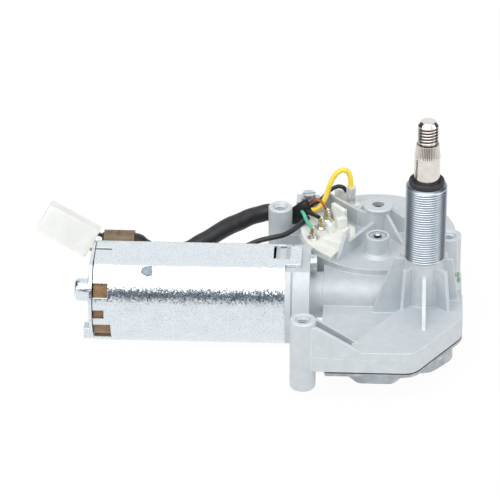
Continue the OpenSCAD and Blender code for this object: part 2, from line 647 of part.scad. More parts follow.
module output_lever() {
    color("#9a9fa3") difference() {
        translate([0, 0, lever_low_z]) rotate([0, 0, lever_dir])
            link_plate(lever_len, 8, eye_r, 2 * eye_r, lever_t);
        translate([0, 0, lever_low_z - 1]) cylinder(r = shaft_r + seat_gap, h = lever_t + 2);
        translate([lever_end[0], lever_end[1], lever_low_z - 1])
            cylinder(r = pin_r + seat_gap, h = lever_t + 2);
    }
}

module lever_pin() {
    color("#8e9296") translate([lever_end[0], lever_end[1], rod_low_z - 1.4])
        cylinder(r = pin_r, h = lever_z - rod_low_z + 1.4);
}

module rod_clip() {
    color("#5b5f63") translate([lever_end[0], lever_end[1], rod_low_z - 0.9]) difference() {
        cylinder(r = pin_r + 1.3, h = 0.7);
        translate([0, 0, -1]) cylinder(r = pin_r + seat_gap, h = 3);
    }
}

module connecting_rod() {
    color("#8f9498") difference() {
        translate([lever_end[0], lever_end[1], rod_low_z]) rotate([0, 0, rod_dir])
            link_plate(rod_len, eye_r, eye_r, 6, rod_t);
        for (p = [lever_end, crank_end]) translate([p[0], p[1], rod_low_z - 1])
            cylinder(r = pin_r + run_gap, h = rod_t + 2);
    }
}

module worm_wheel() {
    color("#e9e6d8") difference() {
        union() {
            at_wheel(wheel_low_z) cylinder(r = wheel_root_r, h = wheel_w);
            at_wheel(hub_low_z) cylinder(r = hub_r, h = hub_top_z - hub_low_z);
            // teeth, each leaning by the lead angle of the worm
            for (i = [0:wheel_teeth - 1]) at_wheel(motor_z)
                rotate([0, 0, -90 + 360 * i / wheel_teeth]) rotate([lead_angle, 0, 0])
                    translate([0, 0, -wheel_w / 2 - 0.3]) linear_extrude(wheel_w + 0.6)
                        polygon([[wheel_root_r - 1, -tooth_w * 0.7], [wheel_tip_r, -tooth_w * 0.32],
                            [wheel_tip_r, tooth_w * 0.32], [wheel_root_r - 1, tooth_w * 0.7]]);
        }
        // both faces are turned flat
        for (z = [wheel_top_z, wheel_low_z - 2]) at_wheel(z) difference() {
            cylinder(r = wheel_tip_r + 2, h = 2);
            translate([0, 0, -1]) cylinder(r = hub_r, h = 4);
        }
        at_wheel(hub_low_z - 1) cylinder(r = axle_r + run_gap, h = 20);
        translate([crank_end[0], crank_end[1], wheel_low_z - 1]) cylinder(r = pin_r, h = wheel_w - 0.6);
        // lightening holes
        for (a = [40:60:340]) at_wheel(wheel_low_z - 1) rotate([0, 0, a + crank_dir - 10])
            translate([18.5, 0, 0]) cylinder(r = 4, h = wheel_w - 0.8);
    }
}

module crank_pin() {
    color("#8e9296") translate([crank_end[0], crank_end[1], rod_z + part_gap])
        cylinder(r = pin_r - seat_gap, h = wheel_top_z - 1.8 - rod_z - part_gap);
}

module park_disc() {
    color("#c9a34e") at_wheel(wheel_top_z) difference() {
        cylinder(r = 25.5, h = disc_t);
        translate([0, 0, -1]) cylinder(r = 10, h = 3);
        rotate([0, 0, 70]) translate([15, -2.5, -1]) cube([5, 5, 3]);
    }
}

module wheel_axle() {
    color("#8e9296") at_wheel(axle_low_z) difference() {
        cylinder(r = axle_r - seat_gap, h = boss_z - 2.2 - axle_low_z);
        translate([0, 0, 0.7]) difference() {
            cylinder(r = axle_r + 1, h = 0.8);
            translate([0, 0, -1]) cylinder(r = axle_r - 0.6, h = 3);
        }
    }
}

module wheel_washer() {
    color("#d8d8d2") {
        at_wheel(hub_top_z + 0.15) difference() {
            cylinder(r = hub_r, h = 0.6);
            translate([0, 0, -1]) cylinder(r = axle_r + seat_gap, h = 3);
        }
        at_wheel(hub_low_z - 0.75) difference() {
            cylinder(r = hub_r, h = 0.6);
            translate([0, 0, -1]) cylinder(r = axle_r + seat_gap, h = 3);
        }
    }
}

module axle_clip() {
    color("#5b5f63") at_wheel(axle_low_z + 0.8) difference() {
        cylinder(r = axle_r + 1.6, h = 0.6);
        translate([0, 0, -1]) cylinder(r = axle_r - 0.58, h = 3);
        translate([0, -1.2, -1]) cube([10, 2.4, 3]);
    }
}

module cover_gasket() {
    color("#3a2f2a") difference() {
        translate([0, 0, cover_z]) linear_extrude(gasket_t) difference() {
            base_outline();
            pan_outline(0.9);
            for (p = cover_screw_at) translate(p) circle(r = cover_screw_r + 0.2);
        }
        worm_tube_space(tube_r + seat_gap);
        rod_x(-can_x - 1, flange_x + 0.3, can_r + 0.3);
        rod_x(flange_x, flange_x + collar_len + 0.2, collar_r + 0.2);
        translate([0, 0, cover_z - 1]) cylinder(r = column_r + 0.4, h = 4);
    }
}

module cover_plate() {
    color("#aeb4b9") difference() {
        union() {
            translate([0, 0, cover_low_z]) linear_extrude(cover_t) base_outline();
            translate([0, 0, pan_z]) linear_extrude(cover_low_z - pan_z + 0.5) pan_outline(cover_t);
        }
        translate([0, 0, pan_z + cover_t]) linear_extrude(30) pan_outline();
        worm_tube_space(tube_r + part_gap);
        rod_x(-can_x - 1, flange_x + 0.3, can_r + 0.3);
        rod_x(flange_x, flange_x + collar_len + 0.2, collar_r + 0.2);
        for (p = cover_screw_at) translate([p[0], p[1], cover_low_z - 1])
            cylinder(r = cover_screw_r + 0.2, h = 4);
    }
}

module cover_screws() {
    color("#c8ccd0") for (p = cover_screw_at) translate([p[0], p[1], cover_low_z - 1.8]) {
        difference() {
            cylinder(r = 2.8, h = 1.8 - seat_gap);
            for (a = [0, 90]) rotate([0, 0, a]) translate([-1.7, -0.3, -1]) cube([3.4, 0.6, 1.9]);
        }
        cylinder(r = cover_screw_r - 0.05, h = 1.8 + cover_t + gasket_t + web_t - 0.6);
    }
}

module contact_rivet() {
    color("#b9bec2") translate([wheel_x, rivet_y, 0]) difference() {
        union() {
            translate([0, 0, ceiling_z - 0.8]) cylinder(r = 3, h = 0.78);
            translate([0, 0, ceiling_z - 0.2]) cylinder(r = 1.93, h = pot_z + rivet_boss_h - 0.9 - ceiling_z + 0.1);
            translate([0, 0, pot_z + rivet_boss_h - 0.9 + seat_gap])
                cylinder(r = rivet_boss_d / 2 - 1, h = 0.5);
        }
        translate([0, 0, ceiling_z + 2]) cylinder(r = 1.2, h = 20);
    }
}

// Nylon plate that fills the space between the fences and carries the terminals
module terminal_plate() {
    c = [wheel_x, wheel_y];
    color("#e6eadc") difference() {
        union() {
            translate([0, 0, pot_z + seat_gap]) linear_extrude(plate_t)
                polygon(concat(arc(c, pot_r - 0.4, 152, 234, 12), [c + [-13, -15.8], c + [-8.8, -8.2],
                    c + [-9.2, -0.2], c + [-11.6, 2.8], c + [-19.2, 9.8]]));
            // part that stands in the slot of the pot floor
            translate([slot_mid[0], slot_mid[1], ceiling_z]) rotate([0, 0, tab_turn])
                translate([0.2 - slot_half[0], 0.2 - slot_half[1], 0])
                    cube([2 * slot_half[0] - 0.4, 2 * slot_half[1] - 0.4, pot_floor_t + 0.5]);
            // upright wall beside the rear terminal
            translate([c[0] - 18.3, c[1] + 7.8, pot_z + 0.2]) rotate([0, 0, -50]) translate([0, -0.9, 0])
                cube([8, 1.8, plate_t + 6.4]);
            // posts and stops on the plate
            translate([c[0] - 16.2, c[1] - 2.4, plate_z - 0.2]) rotate([0, 0, 20]) cube([4.2, 2.6, 4.6]);
            translate([c[0] - 19.6, c[1] - 6.4, plate_z - 0.2]) rotate([0, 0, 20]) cube([1.8, 3.2, 4]);
            translate([c[0] - 22.4, c[1] - 13.2, plate_z - 0.2]) rotate([0, 0, -32]) cube([9, 3, 2.2]);
            translate([c[0] - 13.2, c[1] - 13.4, plate_z - 0.2]) rotate([0, 0, 60]) cube([4, 1.2, 5.4]);
        }
        for (p = tab_at) translate([p[0], p[1], ceiling_z - 1]) rotate([0, 0, tab_turn])
            cube([tab_w + 0.1, tab_t + 0.1, 20], center = true);
        for (p = tab_at) translate([p[0], p[1], plate_z - 4]) rotate([0, 0, tab_turn])
            cube([tab_w + 0.1, tab_t + 0.1, 20], center = true);
    }
}

// Brass blades: a solder tab above the plate, a leg through it and a finger inside
module contact_blades() {
    color("#c9a34e") for (p = tab_at) translate([p[0], p[1], 0]) rotate([0, 0, tab_turn]) {
        translate([-tab_w / 2, -tab_t / 2, finger_z - 0.7])
            cube([tab_w, tab_t, plate_z + tab_h - finger_z + 0.7]);
        // spring finger that runs down to the park disc, towards the wheel axle
        translate([0, 0, finger_z - 0.4])
            rotate([0, finger_slope, atan2(wheel_y - p[1], wheel_x - p[0]) - tab_turn])
                translate([-0.3, 0.4 - tab_w / 2, -0.35]) cube([finger_len + 0.3, tab_w - 0.8, 0.35]);
    }
}

module solder_joints() {
    color("#cfd3d3") for (p = tab_at) translate([p[0], p[1], plate_z + seat_gap]) difference() {
        cylinder(r1 = 2, r2 = 0.8, h = tab_h + 0.8);
        rotate([0, 0, tab_turn]) translate([-tab_w / 2 - seat_gap, -tab_t / 2 - seat_gap, -1])
            cube([tab_w + 2 * seat_gap, tab_t + 2 * seat_gap, tab_h + 1 + seat_gap]);
    }
}

module rear_terminal_block() {
    color("#e6eadc") translate([rear_block_at[0], rear_block_at[1], pot_z + seat_gap])
        rotate([0, 0, 133]) {
            translate([-7.6, -2.6, 0]) cube([15.2, 6, 2.4]);
            translate([-1, -2.6, 2]) cube([7, 3.6, 6]);
            translate([-6.4, -2.6, 2]) cube([5.4, 5, 2.4]);
        }
}

module spade_terminal() {
    color("#c9ced2") translate([spade_at[0], spade_at[1], plate_z + 2.6 + 2 * seat_gap]) {
        translate([-1.7, -0.6, 0]) cube([3.4, 1.2, 3.2]);
        translate([0, 0, 2.8]) cylinder(r = 1.9, h = 4.9);
    }
}

module motor_can() {
    color("#c2c8cc") difference() {
        union() {
            flatted(can_end_x, -can_x, can_r, can_flat);
            // tongue that lies on the flange of the housing
            translate([-can_x - 1, motor_y - 7.5, motor_z + can_flat - can_wall + seat_gap])
                cube([7.1, 15, can_wall - seat_gap]);
        }
        flatted(can_end_x - 1, -can_x + rim_len, can_r - can_wall, can_flat - can_wall);
        // window over the lug of the flange
        translate([-can_x - 4.9, motor_y - 3, motor_z + can_flat - 3]) cube([6.5, 10.4, 4]);
        // notches in the rear edge, by direction round the axis, width and length
        for (n = [[29, 12, 5.8], [0, 8, 4.3], [-28, 20, 6.8], [151, 18, 5.8], [209, 14, 6]])
            translate([can_end_x - 1, motor_y, motor_z]) rotate([-n[0], 0, 0])
                translate([0, -can_r - 1, -can_r * sin(n[1]) / 1.45])
                    cube([n[2] + 1, 4, 2 * can_r * sin(n[1]) / 1.45]);
        translate([can_end_x - 1, motor_y + 1.4, motor_z + can_flat - 3]) cube([7.3, 1.2, 4]);
        // shallow punched mark
        translate([can_end_x + 21, motor_y, motor_z]) rotate([-53, 0, 0])
            translate([0, -can_r - 0.5, 0]) rotate([90, 0, 0]) translate([0, 0, -0.9])
                cylinder(r = 2.2, h = 2);
    }
}

module end_plate() {
    color("#c2c8cc") difference() {
        union() {
            flatted(cup_x, plate_x, can_r - 0.4, can_flat - 0.3);
            // bearing cup with a domed end
            translate([cup_x + 0.2, motor_y, motor_z]) rotate([0, -90, 0]) rotate_extrude()
                polygon([[0, 0], [bearing_cup_r, 0], [bearing_cup_r, bearing_cup_len - 1.2],
                    [bearing_cup_r - 0.5, bearing_cup_len - 0.3],
                    [bearing_cup_r - 1.5, bearing_cup_len + 0.2], [0, bearing_cup_len + 0.2]]);
            rod_x(cup_x - 1.6, cup_x + 0.1, bearing_cup_r + 1.2);
            // foot bent out at the lower edge
            translate([cup_x - 2.6, motor_y - 14, motor_z - 14]) cube([2.8, 5, 4.4]);
        }
        rod_x(cup_x - bearing_cup_len + end_plate_t, plate_x + 1, bearing_cup_r - end_plate_t);
        for (a = [60, 180, 300]) translate([cup_x - 3, motor_y, motor_z]) rotate([-a, 0, 0])
            translate([0, -14, -1.6]) cube([7, 5, 3.2]);
    }
}

module end_bearing() {
    color("#a98d5c") difference() {
        rod_x(cup_x - bearing_cup_len + end_plate_t + 2.2, plate_x + 1.4, bearing_cup_r - end_plate_t - seat_gap);
        rod_x(cup_x - bearing_cup_len, plate_x + 3, 2 + run_gap);
    }
}

module thrust_ball() {
    color("#d5d9dc") translate([cup_x - bearing_cup_len + end_plate_t + 1.1, motor_y, motor_z])
        sphere(r = 1.05);
}

module brush_plate() {
    color("#8a6a45") difference() {
        flatted(can_end_x + 0.1, can_end_x + 8, can_r - can_wall - 0.1, can_flat - can_wall - 0.1);
        flatted(can_end_x + 2.2, can_end_x + 9, can_r - can_wall - 1.7, can_flat - can_wall - 1.7);
        rod_x(can_end_x - 1, can_end_x + 4, 8.4);
        for (a = [60, 180, 300]) translate([can_end_x - 1, motor_y, motor_z]) rotate([-a, 0, 0])
            translate([0, -14, -1.6]) cube([5, 5, 3.2]);
    }
}

module brush_holders() {
    color("#c9a34e") for (s = [1, -1]) translate([can_end_x + 2.2 + seat_gap, motor_y, motor_z])
        scale(1) rotate([s * 90, 0, 0]) difference() {
            translate([0, -3.4, 8.2]) cube([6.6, 6.8, 7]);
            translate([0.8, -2.6, 7]) cube([5, 5.2, 7.4]);
        }
}

module carbon_brushes() {
    color("#3a3a3c") for (s = [1, -1]) translate([can_end_x + 3 + 2 * seat_gap, motor_y, motor_z])
        rotate([s * 90, 0, 0]) difference() {
            translate([0.1, -2.5, 6]) cube([4.8, 5, 6]);
            rotate([0, 90, 0]) translate([0, 0, -1]) cylinder(r = commutator_r + run_gap, h = 8);
        }
}

module brush_springs() {
    color("#9da2a6") for (s = [1, -1]) translate([can_end_x + 5.5, motor_y, motor_z])
        rotate([s * 90, 0, 0]) translate([0, 0, 12.1]) for (k = [0:2])
            translate([0, 0, 0.75 * k]) difference() {
                cylinder(r = 2.1, h = 0.7);
                translate([0, 0, -1]) cylinder(r = 1.5, h = 3);
            }
}

module magnets() {
    color("#4a4a4d") for (s = [0, 180]) difference() {
        rod_x(magnet_x, magnet_x + magnet_len, magnet_r);
        rod_x(magnet_x - 1, magnet_x + magnet_len + 1, magnet_r - magnet_t);
        translate([magnet_x - 1, motor_y, motor_z]) rotate([s, 0, 0])
            translate([0, -8, -30]) cube([magnet_len + 2, 40, 60]);
        flatted_waste();
    }
}

// Space outside the flats, which no round piece in the can may enter
module flatted_waste() {
    for (s = [1, -1]) translate([can_end_x, motor_y - 30, motor_z + s * (can_flat - can_wall - 0.1 + 10) - 10])
        cube([can_len, 60, 20]);
}

module magnet_clips() {
    color("#b4b9bd") for (s = [1, -1]) translate([magnet_x + 2, motor_y, motor_z])
        translate([0, -6.6, s > 0 ? can_flat - can_wall - 0.8 : -can_flat + can_wall + 0.1])
            cube([magnet_len - 4, 13.2, 0.7]);
}

// One-start worm: an offset circle drawn as it turns along the axis
module worm_thread() {
    turns = worm_len / tooth_pitch;
    crest = worm_r + addendum;
    root = worm_r - dedendum;
    half = 180 * tooth_w / tooth_pitch;
    slope = 40;
    translate([worm_mid_x - worm_len / 2, motor_y, motor_z]) rotate([0, 90, 0])
        rotate([0, 0, 360 * turns / 2 - 90])
            linear_extrude(worm_len, twist = 360 * turns, slices = worm_slices, convexity = 8)
                polygon([for (a = [-180:18:162]) let (d = abs(a),
                    r = d < half - slope / 2 ? crest : d > half + slope ? root
                        : crest - (crest - root) * (d - half + slope / 2) / (1.5 * slope))
                    r * [cos(a), sin(a)]]);
}

module armature_shaft() {
    color("#aab0b4") union() {
        rod_x(cup_x - bearing_cup_len + end_plate_t + 2.3, can_end_x + 5, 2);
        rod_x(can_end_x + 4.9, tube_floor_x - 1.5, armature_r);
        worm_thread();
    }
}

module armature_core() {
    color("#7d8288") difference() {
        rod_x(core_x, core_x + core_len, core_r);
        rod_x(core_x - 1, core_x + core_len + 1, armature_r + seat_gap);
        for (a = [0:36:324]) translate([core_x - 1, motor_y, motor_z]) rotate([a, 0, 0]) {
            translate([0, 8, -1.9]) cube([core_len + 2, 3.4, 3.8]);
            translate([0, 9, -0.8]) cube([core_len + 2, 6, 1.6]);
        }
    }
}

module armature_winding() {
    color("#a8562c") for (x = [core_x - winding_over - seat_gap, core_x + core_len + seat_gap]) difference() {
        rod_x(x, x + winding_over, winding_r);
        rod_x(x - 1, x + winding_over + 1, armature_r + 1);
        for (s = [x - 0.01, x + winding_over - 0.99]) difference() {
            rod_x(s, s + 1, winding_r + 1);
            rod_x(s - 1, s + 2, winding_r - 0.8);
        }
    }
}

module commutator() {
    color("#b06a3c") difference() {
        rod_x(can_end_x + 3, can_end_x + 3 + commutator_len, commutator_r);
        rod_x(can_end_x + 2, can_end_x + 13, armature_r + seat_gap);
        for (a = [18:36:342]) translate([can_end_x + 2, motor_y, motor_z]) rotate([a, 0, 0])
            translate([0, commutator_r - 0.7, -0.2]) cube([commutator_len + 2, 1, 0.4]);
    }
}

module drive_bearing() {
    color("#a98d5c") difference() {
        rod_x(bearing_x + 0.2, bearing_x + bearing_len - 0.2, bearing_r - seat_gap);
        rod_x(bearing_x - 1, bearing_x + bearing_len + 1, armature_r + run_gap);
    }
}

module worm_end_bush() {
    color("#a98d5c") difference() {
        rod_x(tube_floor_x - 6.4, tube_floor_x - 1.4, end_bore_r - seat_gap);
        rod_x(tube_floor_x - 8, tube_floor_x, armature_r + run_gap);
    }
}

module thrust_button() {
    color("#e4e2d6") rod_x(tube_floor_x - 1.2, tube_floor_x - seat_gap, end_bore_r - seat_gap);
}

module flange_screws() {
    color("#cdd2d6") for (s = [1, -1]) difference() {
        union() {
            rod_x(flange_x + seat_gap, flange_x + 0.9, 3.7, s * screw_off);
            rod_x(flange_x + 0.8, flange_x + 2.6, 3.5, s * screw_off);
            rod_x(bearing_x - 3, flange_x + 1, flange_hole_r - 0.04, s * screw_off);
        }
        for (a = [0, 90]) translate([flange_x + 1.7, motor_y, motor_z + s * screw_off])
            rotate([a, 0, 0]) translate([0, -2, -0.4]) cube([2, 4, 0.8]);
    }
}

module earth_screw() {
    color("#b9bfc4") translate([earth_at[0], earth_at[1], earth_z + 0.8]) difference() {
        union() {
            cylinder(r = 2.7, h = 2.2);
            translate([0, 0, -8]) cylinder(r = 1.55, h = 8.5);
        }
        rotate([0, 0, 12]) translate([-4, -0.35, 1.3]) cube([8, 0.7, 2]);
    }
}

module earth_tag() {
    color("#c9ced2") translate([earth_at[0], earth_at[1], earth_z + seat_gap]) difference() {
        union() {
            cylinder(r = 3.2, h = 0.7);
            translate([1, -1.5, 0]) cube([5, 3, 0.7]);
        }
        translate([0, 0, -1]) cylinder(r = 1.6, h = 3);
    }
}

module earth_braid() { color("#b5694a") cord(braid_route, 0.6); }

module cable_clip() {
    color("#7c5c3a") difference() {
        translate([clip_x, clip_y, clip_z]) rotate([0, 90, 0]) cylinder(r = clip_r, h = clip_len);
        translate([clip_x - 1, clip_y, clip_z]) rotate([0, 90, 0])
            cylinder(r = sheath_r + 0.05, h = clip_len + 2);
        rod_x(clip_x - 1, clip_x + clip_len + 1, can_r + seat_gap);
        // small notch in the upper edge
        translate([clip_x + 5.6, clip_y - 2, clip_z + clip_r - 0.6]) cube([1, 4, 2]);
    }
}

module harness_sheath() { color("#1e1e21") cord(sheath_route, sheath_r, 10); }

module sheath_tail() { color("#1e1e21") cord(tail_route, sheath_r, 10, 0.6); }

module yellow_lead() { color("#f2d23a") cord(yellow_route, lead_r); }

module black_lead() { color("#232326") cord(black_route, 0.8 * lead_r); }

module short_lead() { color("#232326") cord(stub_route, 0.8 * lead_r); }

module green_lead() { color("#58c7a8") cord(green_route, 0.7 * lead_r); }

module motor_lead() { color("#1e1e21") cord(motor_route, lead_r); }

module plug_leads() {
    shades = ["#1e1e21", "#58c7a8", "#f2d23a"];
    for (i = [0:2]) color(shades[i]) cord(plug_wires[i], 0.7 * lead_r);
}

module plug_housing() {
    color("#ecefe6") translate(plug_at) rotate(plug_turn) difference() {
        translate([0, -plug_w / 2, -plug_h / 2]) cube([plug_len, plug_w, plug_h]);
        // open mating end with two chambers
        for (s = [-1, 1]) translate([6, s > 0 ? 0.5 : -plug_w / 2 + 1, -plug_h / 2 + 1])
            cube([plug_len, plug_w / 2 - 1.5, plug_h - 2]);
        // holes that the wires enter
        for (k = [-1, 0, 1]) translate([-1, k * 3.6, 0]) rotate([0, 90, 0]) cylinder(r = 1.2, h = 8);
    }
}

module plug_terminals() {
    color("#c9a34e") translate(plug_at) rotate(plug_turn)
        for (s = [-1, 1]) translate([6.2, s * (plug_w / 4 - 0.2) - 1.8, -0.4]) cube([14, 3.6, 0.8]);
}

gear_housing();
threaded_sleeve();
upper_bush();
lower_bush();
shaft_seal();
output_shaft();
thrust_washer();
output_lever();
lever_pin();
rod_clip();
connecting_rod();
worm_wheel();
crank_pin();
park_disc();
wheel_axle();
wheel_washer();
axle_clip();
cover_gasket();
cover_plate();
cover_screws();
contact_rivet();
terminal_plate();
contact_blades();
solder_joints();
rear_terminal_block();
spade_terminal();
motor_can();
end_plate();
end_bearing();
thrust_ball();
brush_plate();
brush_holders();
carbon_brushes();
brush_springs();
magnets();
magnet_clips();
armature_shaft();
armature_core();
armature_winding();
commutator();
drive_bearing();
worm_end_bush();
thrust_button();
flange_screws();
earth_screw();
earth_tag();
earth_braid();
cable_clip();
harness_sheath();
sheath_tail();
yellow_lead();
black_lead();
short_lead();
green_lead();
motor_lead();
plug_leads();
plug_housing();
plug_terminals();
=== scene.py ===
import math

import bmesh
import bpy
import numpy as np
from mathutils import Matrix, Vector


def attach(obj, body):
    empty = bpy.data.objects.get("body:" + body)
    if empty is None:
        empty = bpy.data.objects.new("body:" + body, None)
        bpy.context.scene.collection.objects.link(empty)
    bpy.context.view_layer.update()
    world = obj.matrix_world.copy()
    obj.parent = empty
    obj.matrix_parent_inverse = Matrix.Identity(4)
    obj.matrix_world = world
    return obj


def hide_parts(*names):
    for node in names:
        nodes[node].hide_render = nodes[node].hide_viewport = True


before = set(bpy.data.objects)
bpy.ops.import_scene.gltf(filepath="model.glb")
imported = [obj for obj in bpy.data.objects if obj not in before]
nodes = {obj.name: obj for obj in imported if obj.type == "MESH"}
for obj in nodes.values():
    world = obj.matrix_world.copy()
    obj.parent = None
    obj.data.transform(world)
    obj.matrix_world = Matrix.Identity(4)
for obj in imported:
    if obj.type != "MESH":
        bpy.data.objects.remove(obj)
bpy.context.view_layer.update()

# Viewpoint: a long lens a little right of the front and well above the part, as a
# product photograph is taken from a tripod.
MM = 0.001
VIEW_TARGET = Vector((-69.3, 31.6, -16.6)) * MM
VIEW_TURN = math.radians(2.45)
VIEW_RISE = math.radians(29.4)
VIEW_DISTANCE, VIEW_LENS, VIEW_SENSOR = 1.36, 244.8, 36.0
view_back = Vector((math.sin(VIEW_TURN) * math.cos(VIEW_RISE),
                    -math.cos(VIEW_TURN) * math.cos(VIEW_RISE), math.sin(VIEW_RISE)))
lens = bpy.data.cameras.new("camera")
lens.lens, lens.sensor_width = VIEW_LENS, VIEW_SENSOR
lens.clip_start, lens.clip_end = 0.05, 20.0
camera = bpy.data.objects.new("camera", lens)
camera.location = VIEW_TARGET + view_back * VIEW_DISTANCE
camera.rotation_euler = view_back.to_track_quat("Z", "Y").to_euler()
bpy.context.scene.collection.objects.link(camera)
bpy.context.scene.camera = camera
bpy.context.scene.view_settings.view_transform = "Standard"

# Table: seamless white paper under soft lamps. The paper glows white for the camera and
# in reflections, and a part of it keeps the shadow that the motor throws.


def srgb(text):
    """Linear red, green, blue and alpha of an sRGB hex colour."""
    part = np.array([int(text[k:k + 2], 16) for k in (1, 3, 5)]) / 255.0
    linear = np.where(part <= 0.04045, part / 12.92, ((part + 0.055) / 1.055) ** 2.4)
    return (*linear.tolist(), 1.0)


def add(tree, kind, links=None, **settings):
    """Adds one shader node: settings are its properties, links its sockets' values or sources."""
    node = tree.nodes.new(kind)
    for key, value in settings.items():
        setattr(node, key, value)
    for socket, value in (links or {}).items():
        if isinstance(value, bpy.types.NodeSocket):
            tree.links.new(value, node.inputs[socket])
        else:
            node.inputs[socket].default_value = value
    return node


def blank(name):
    """A new material with an empty node tree and its output node."""
    material = bpy.data.materials.new(name)
    material.use_nodes = True
    tree = material.node_tree
    tree.nodes.clear()
    return material, tree, add(tree, "ShaderNodeOutputMaterial")


FLOOR_Z = -43.05
PAPER_REACH, PAPER_GLOW, GLOW_SHARE = 3.0, 1.01, 0.94


def sees_white(tree):
    """1 for camera, glossy and transmission rays, which see plain white, and 0 for the rest."""
    rays = add(tree, "ShaderNodeLightPath")
    seen = rays.outputs["Is Camera Ray"]
    for kind in ("Is Glossy Ray", "Is Transmission Ray"):
        seen = add(tree, "ShaderNodeMath", {0: seen, 1: rays.outputs[kind]},
                   operation="MAXIMUM").outputs[0]
    return seen


paper, tree, out = blank("seamless_paper")
lit = add(tree, "ShaderNodeBsdfDiffuse", {"Color": srgb("#f4f4f4")})
glow = add(tree, "ShaderNodeEmission", {"Color": (1, 1, 1, 1), "Strength": PAPER_GLOW})
share = add(tree, "ShaderNodeMath", {0: sees_white(tree), 1: GLOW_SHARE}, operation="MULTIPLY")
mixed = add(tree, "ShaderNodeMixShader", {0: share.outputs[0], 1: lit.outputs[0],
                                          2: glow.outputs[0]})
tree.links.new(mixed.outputs[0], out.inputs["Surface"])
sheet = bpy.data.meshes.new("paper")
sheet.from_pydata([(x * PAPER_REACH, y * PAPER_REACH, FLOOR_Z * MM)
                   for x, y in ((-1, -1), (1, -1), (1, 1), (-1, 1))], [], [(0, 1, 2, 3)])
sheet.materials.append(paper)
floor = bpy.data.objects.new("paper", sheet)
bpy.context.scene.collection.objects.link(floor)

# White room round the table: full white where it is seen, and dimmer as a source of light,
# so that the lamps keep their shadows.
DIFFUSE_SKY, WHITE_SKY = 0.6, 1.0
world = bpy.data.worlds.new("studio")
world.use_nodes = True
tree = world.node_tree
tree.nodes.clear()
level = add(tree, "ShaderNodeMapRange", {"Value": sees_white(tree), "To Min": DIFFUSE_SKY,
                                         "To Max": WHITE_SKY})
sky = add(tree, "ShaderNodeBackground", {"Color": (1, 1, 1, 1), "Strength": level.outputs[0]})
tree.links.new(sky.outputs[0], add(tree, "ShaderNodeOutputWorld").inputs["Surface"])
bpy.context.scene.world = world

# Lamps: a wide softbox above the front, one at the front left and one at the right. They
# are large for their distance, so the edges of their shadows are soft.
for lamp_name, place, size, watts in (("softbox_top", (-0.1, -0.53, 1.0), 1.1, 7.6),
                                      ("softbox_left", (-1.0, -0.6, 0.6), 0.7, 4.0),
                                      ("softbox_right", (1.0, -0.3, 0.5), 0.6, 3.0)):
    light = bpy.data.lights.new(lamp_name, "AREA")
    light.energy, light.size = watts, size
    lamp = bpy.data.objects.new(lamp_name, light)
    lamp.location = place
    lamp.rotation_euler = (Vector(place) - VIEW_TARGET).to_track_quat("Z", "Y").to_euler()
    bpy.context.scene.collection.objects.link(lamp)

# The dark studio behind the camera and at both sides of the white paper. Only reflections
# see it: it draws the dark band along the can and shades the sides of round pieces.
STUDIO_R = 2.2
dark, tree, out = blank("dark_studio")
shade = add(tree, "ShaderNodeEmission", {"Color": srgb("#3a4753"), "Strength": 1.0})
tree.links.new(shade.outputs[0], out.inputs["Surface"])
for panel_name, turns, rises in (("dark_front", (-60, 60), (9, 34)),
                                 ("dark_left", (-140, -68), (1, 50)),
                                 ("dark_right", (68, 140), (1, 50))):
    turn, rise = np.meshgrid(np.radians(np.linspace(*turns, 31)),
                             np.radians(np.linspace(*rises, 9)))
    arc_points = STUDIO_R * np.stack([np.sin(turn) * np.cos(rise), -np.cos(turn) * np.cos(rise),
                                      np.sin(rise)], -1)
    index = np.arange(turn.size).reshape(turn.shape)
    quads = np.stack([index[:-1, :-1], index[:-1, 1:], index[1:, 1:], index[1:, :-1]], -1)
    panel_mesh = bpy.data.meshes.new(panel_name)
    panel_mesh.from_pydata(arc_points.reshape(-1, 3).tolist(), [], quads.reshape(-1, 4).tolist())
    panel_mesh.materials.append(dark)
    panel = bpy.data.objects.new(panel_name, panel_mesh)
    panel.visible_camera = panel.visible_diffuse = panel.visible_shadow = False
    panel.visible_transmission = False
    bpy.context.scene.collection.objects.link(panel)

# Harness sheath: a soft black PVC tube over the three feed wires. It leaves the lug at the
# rear of the pot, sags behind the can and ends in the brown clip.
SPAN_STEPS = 40


def soft_path(route, count):
    """Catmull-Rom curve through the route's points: count points spaced evenly by length."""
    p = np.array(route, float)
    p = np.vstack([2 * p[0] - p[1], p, 2 * p[-1] - p[-2]])
    t = np.linspace(0, len(route) - 1 - 1e-9, SPAN_STEPS * len(route))
    k = t.astype(int)
    u = (t - k)[:, None]
    a, b, c, d = p[k], p[k + 1], p[k + 2], p[k + 3]
    curve = 0.5 * (2 * b + (c - a) * u + (2 * a - 5 * b + 4 * c - d) * u ** 2
                   + (3 * b - a - 3 * c + d) * u ** 3)
    along = np.concatenate([[0], np.cumsum(np.linalg.norm(np.diff(curve, axis=0), axis=1))])
    even = np.linspace(0, along[-1], count)
    return np.stack([np.interp(even, along, curve[:, k]) for k in range(3)], -1)


def path_length(path):
    """Sum of the distances between neighbouring points."""
    return float(np.linalg.norm(np.diff(path, axis=0), axis=1).sum())


def tube(path, radius, around=20, flat=1.0, hint=(0, 0, 1)):
    """Rings round a path: side = tangent x hint, lift = tangent x side, and a ring point is
    centre + radius (flat cos a side + sin a lift). radius and flat may vary by ring."""
    step = np.gradient(path, axis=0)
    step /= np.linalg.norm(step, axis=1, keepdims=True)
    side = np.cross(step, hint)
    side /= np.linalg.norm(side, axis=1, keepdims=True)
    lift = np.cross(step, side)
    angle = np.linspace(0, 2 * np.pi, around, endpoint=False)
    r = np.broadcast_to(radius, len(path))[:, None, None]
    f = np.broadcast_to(flat, len(path))[:, None, None]
    return (path[:, None] + r * (f * np.cos(angle)[None, :, None] * side[:, None]
                                 + np.sin(angle)[None, :, None] * lift[:, None]))


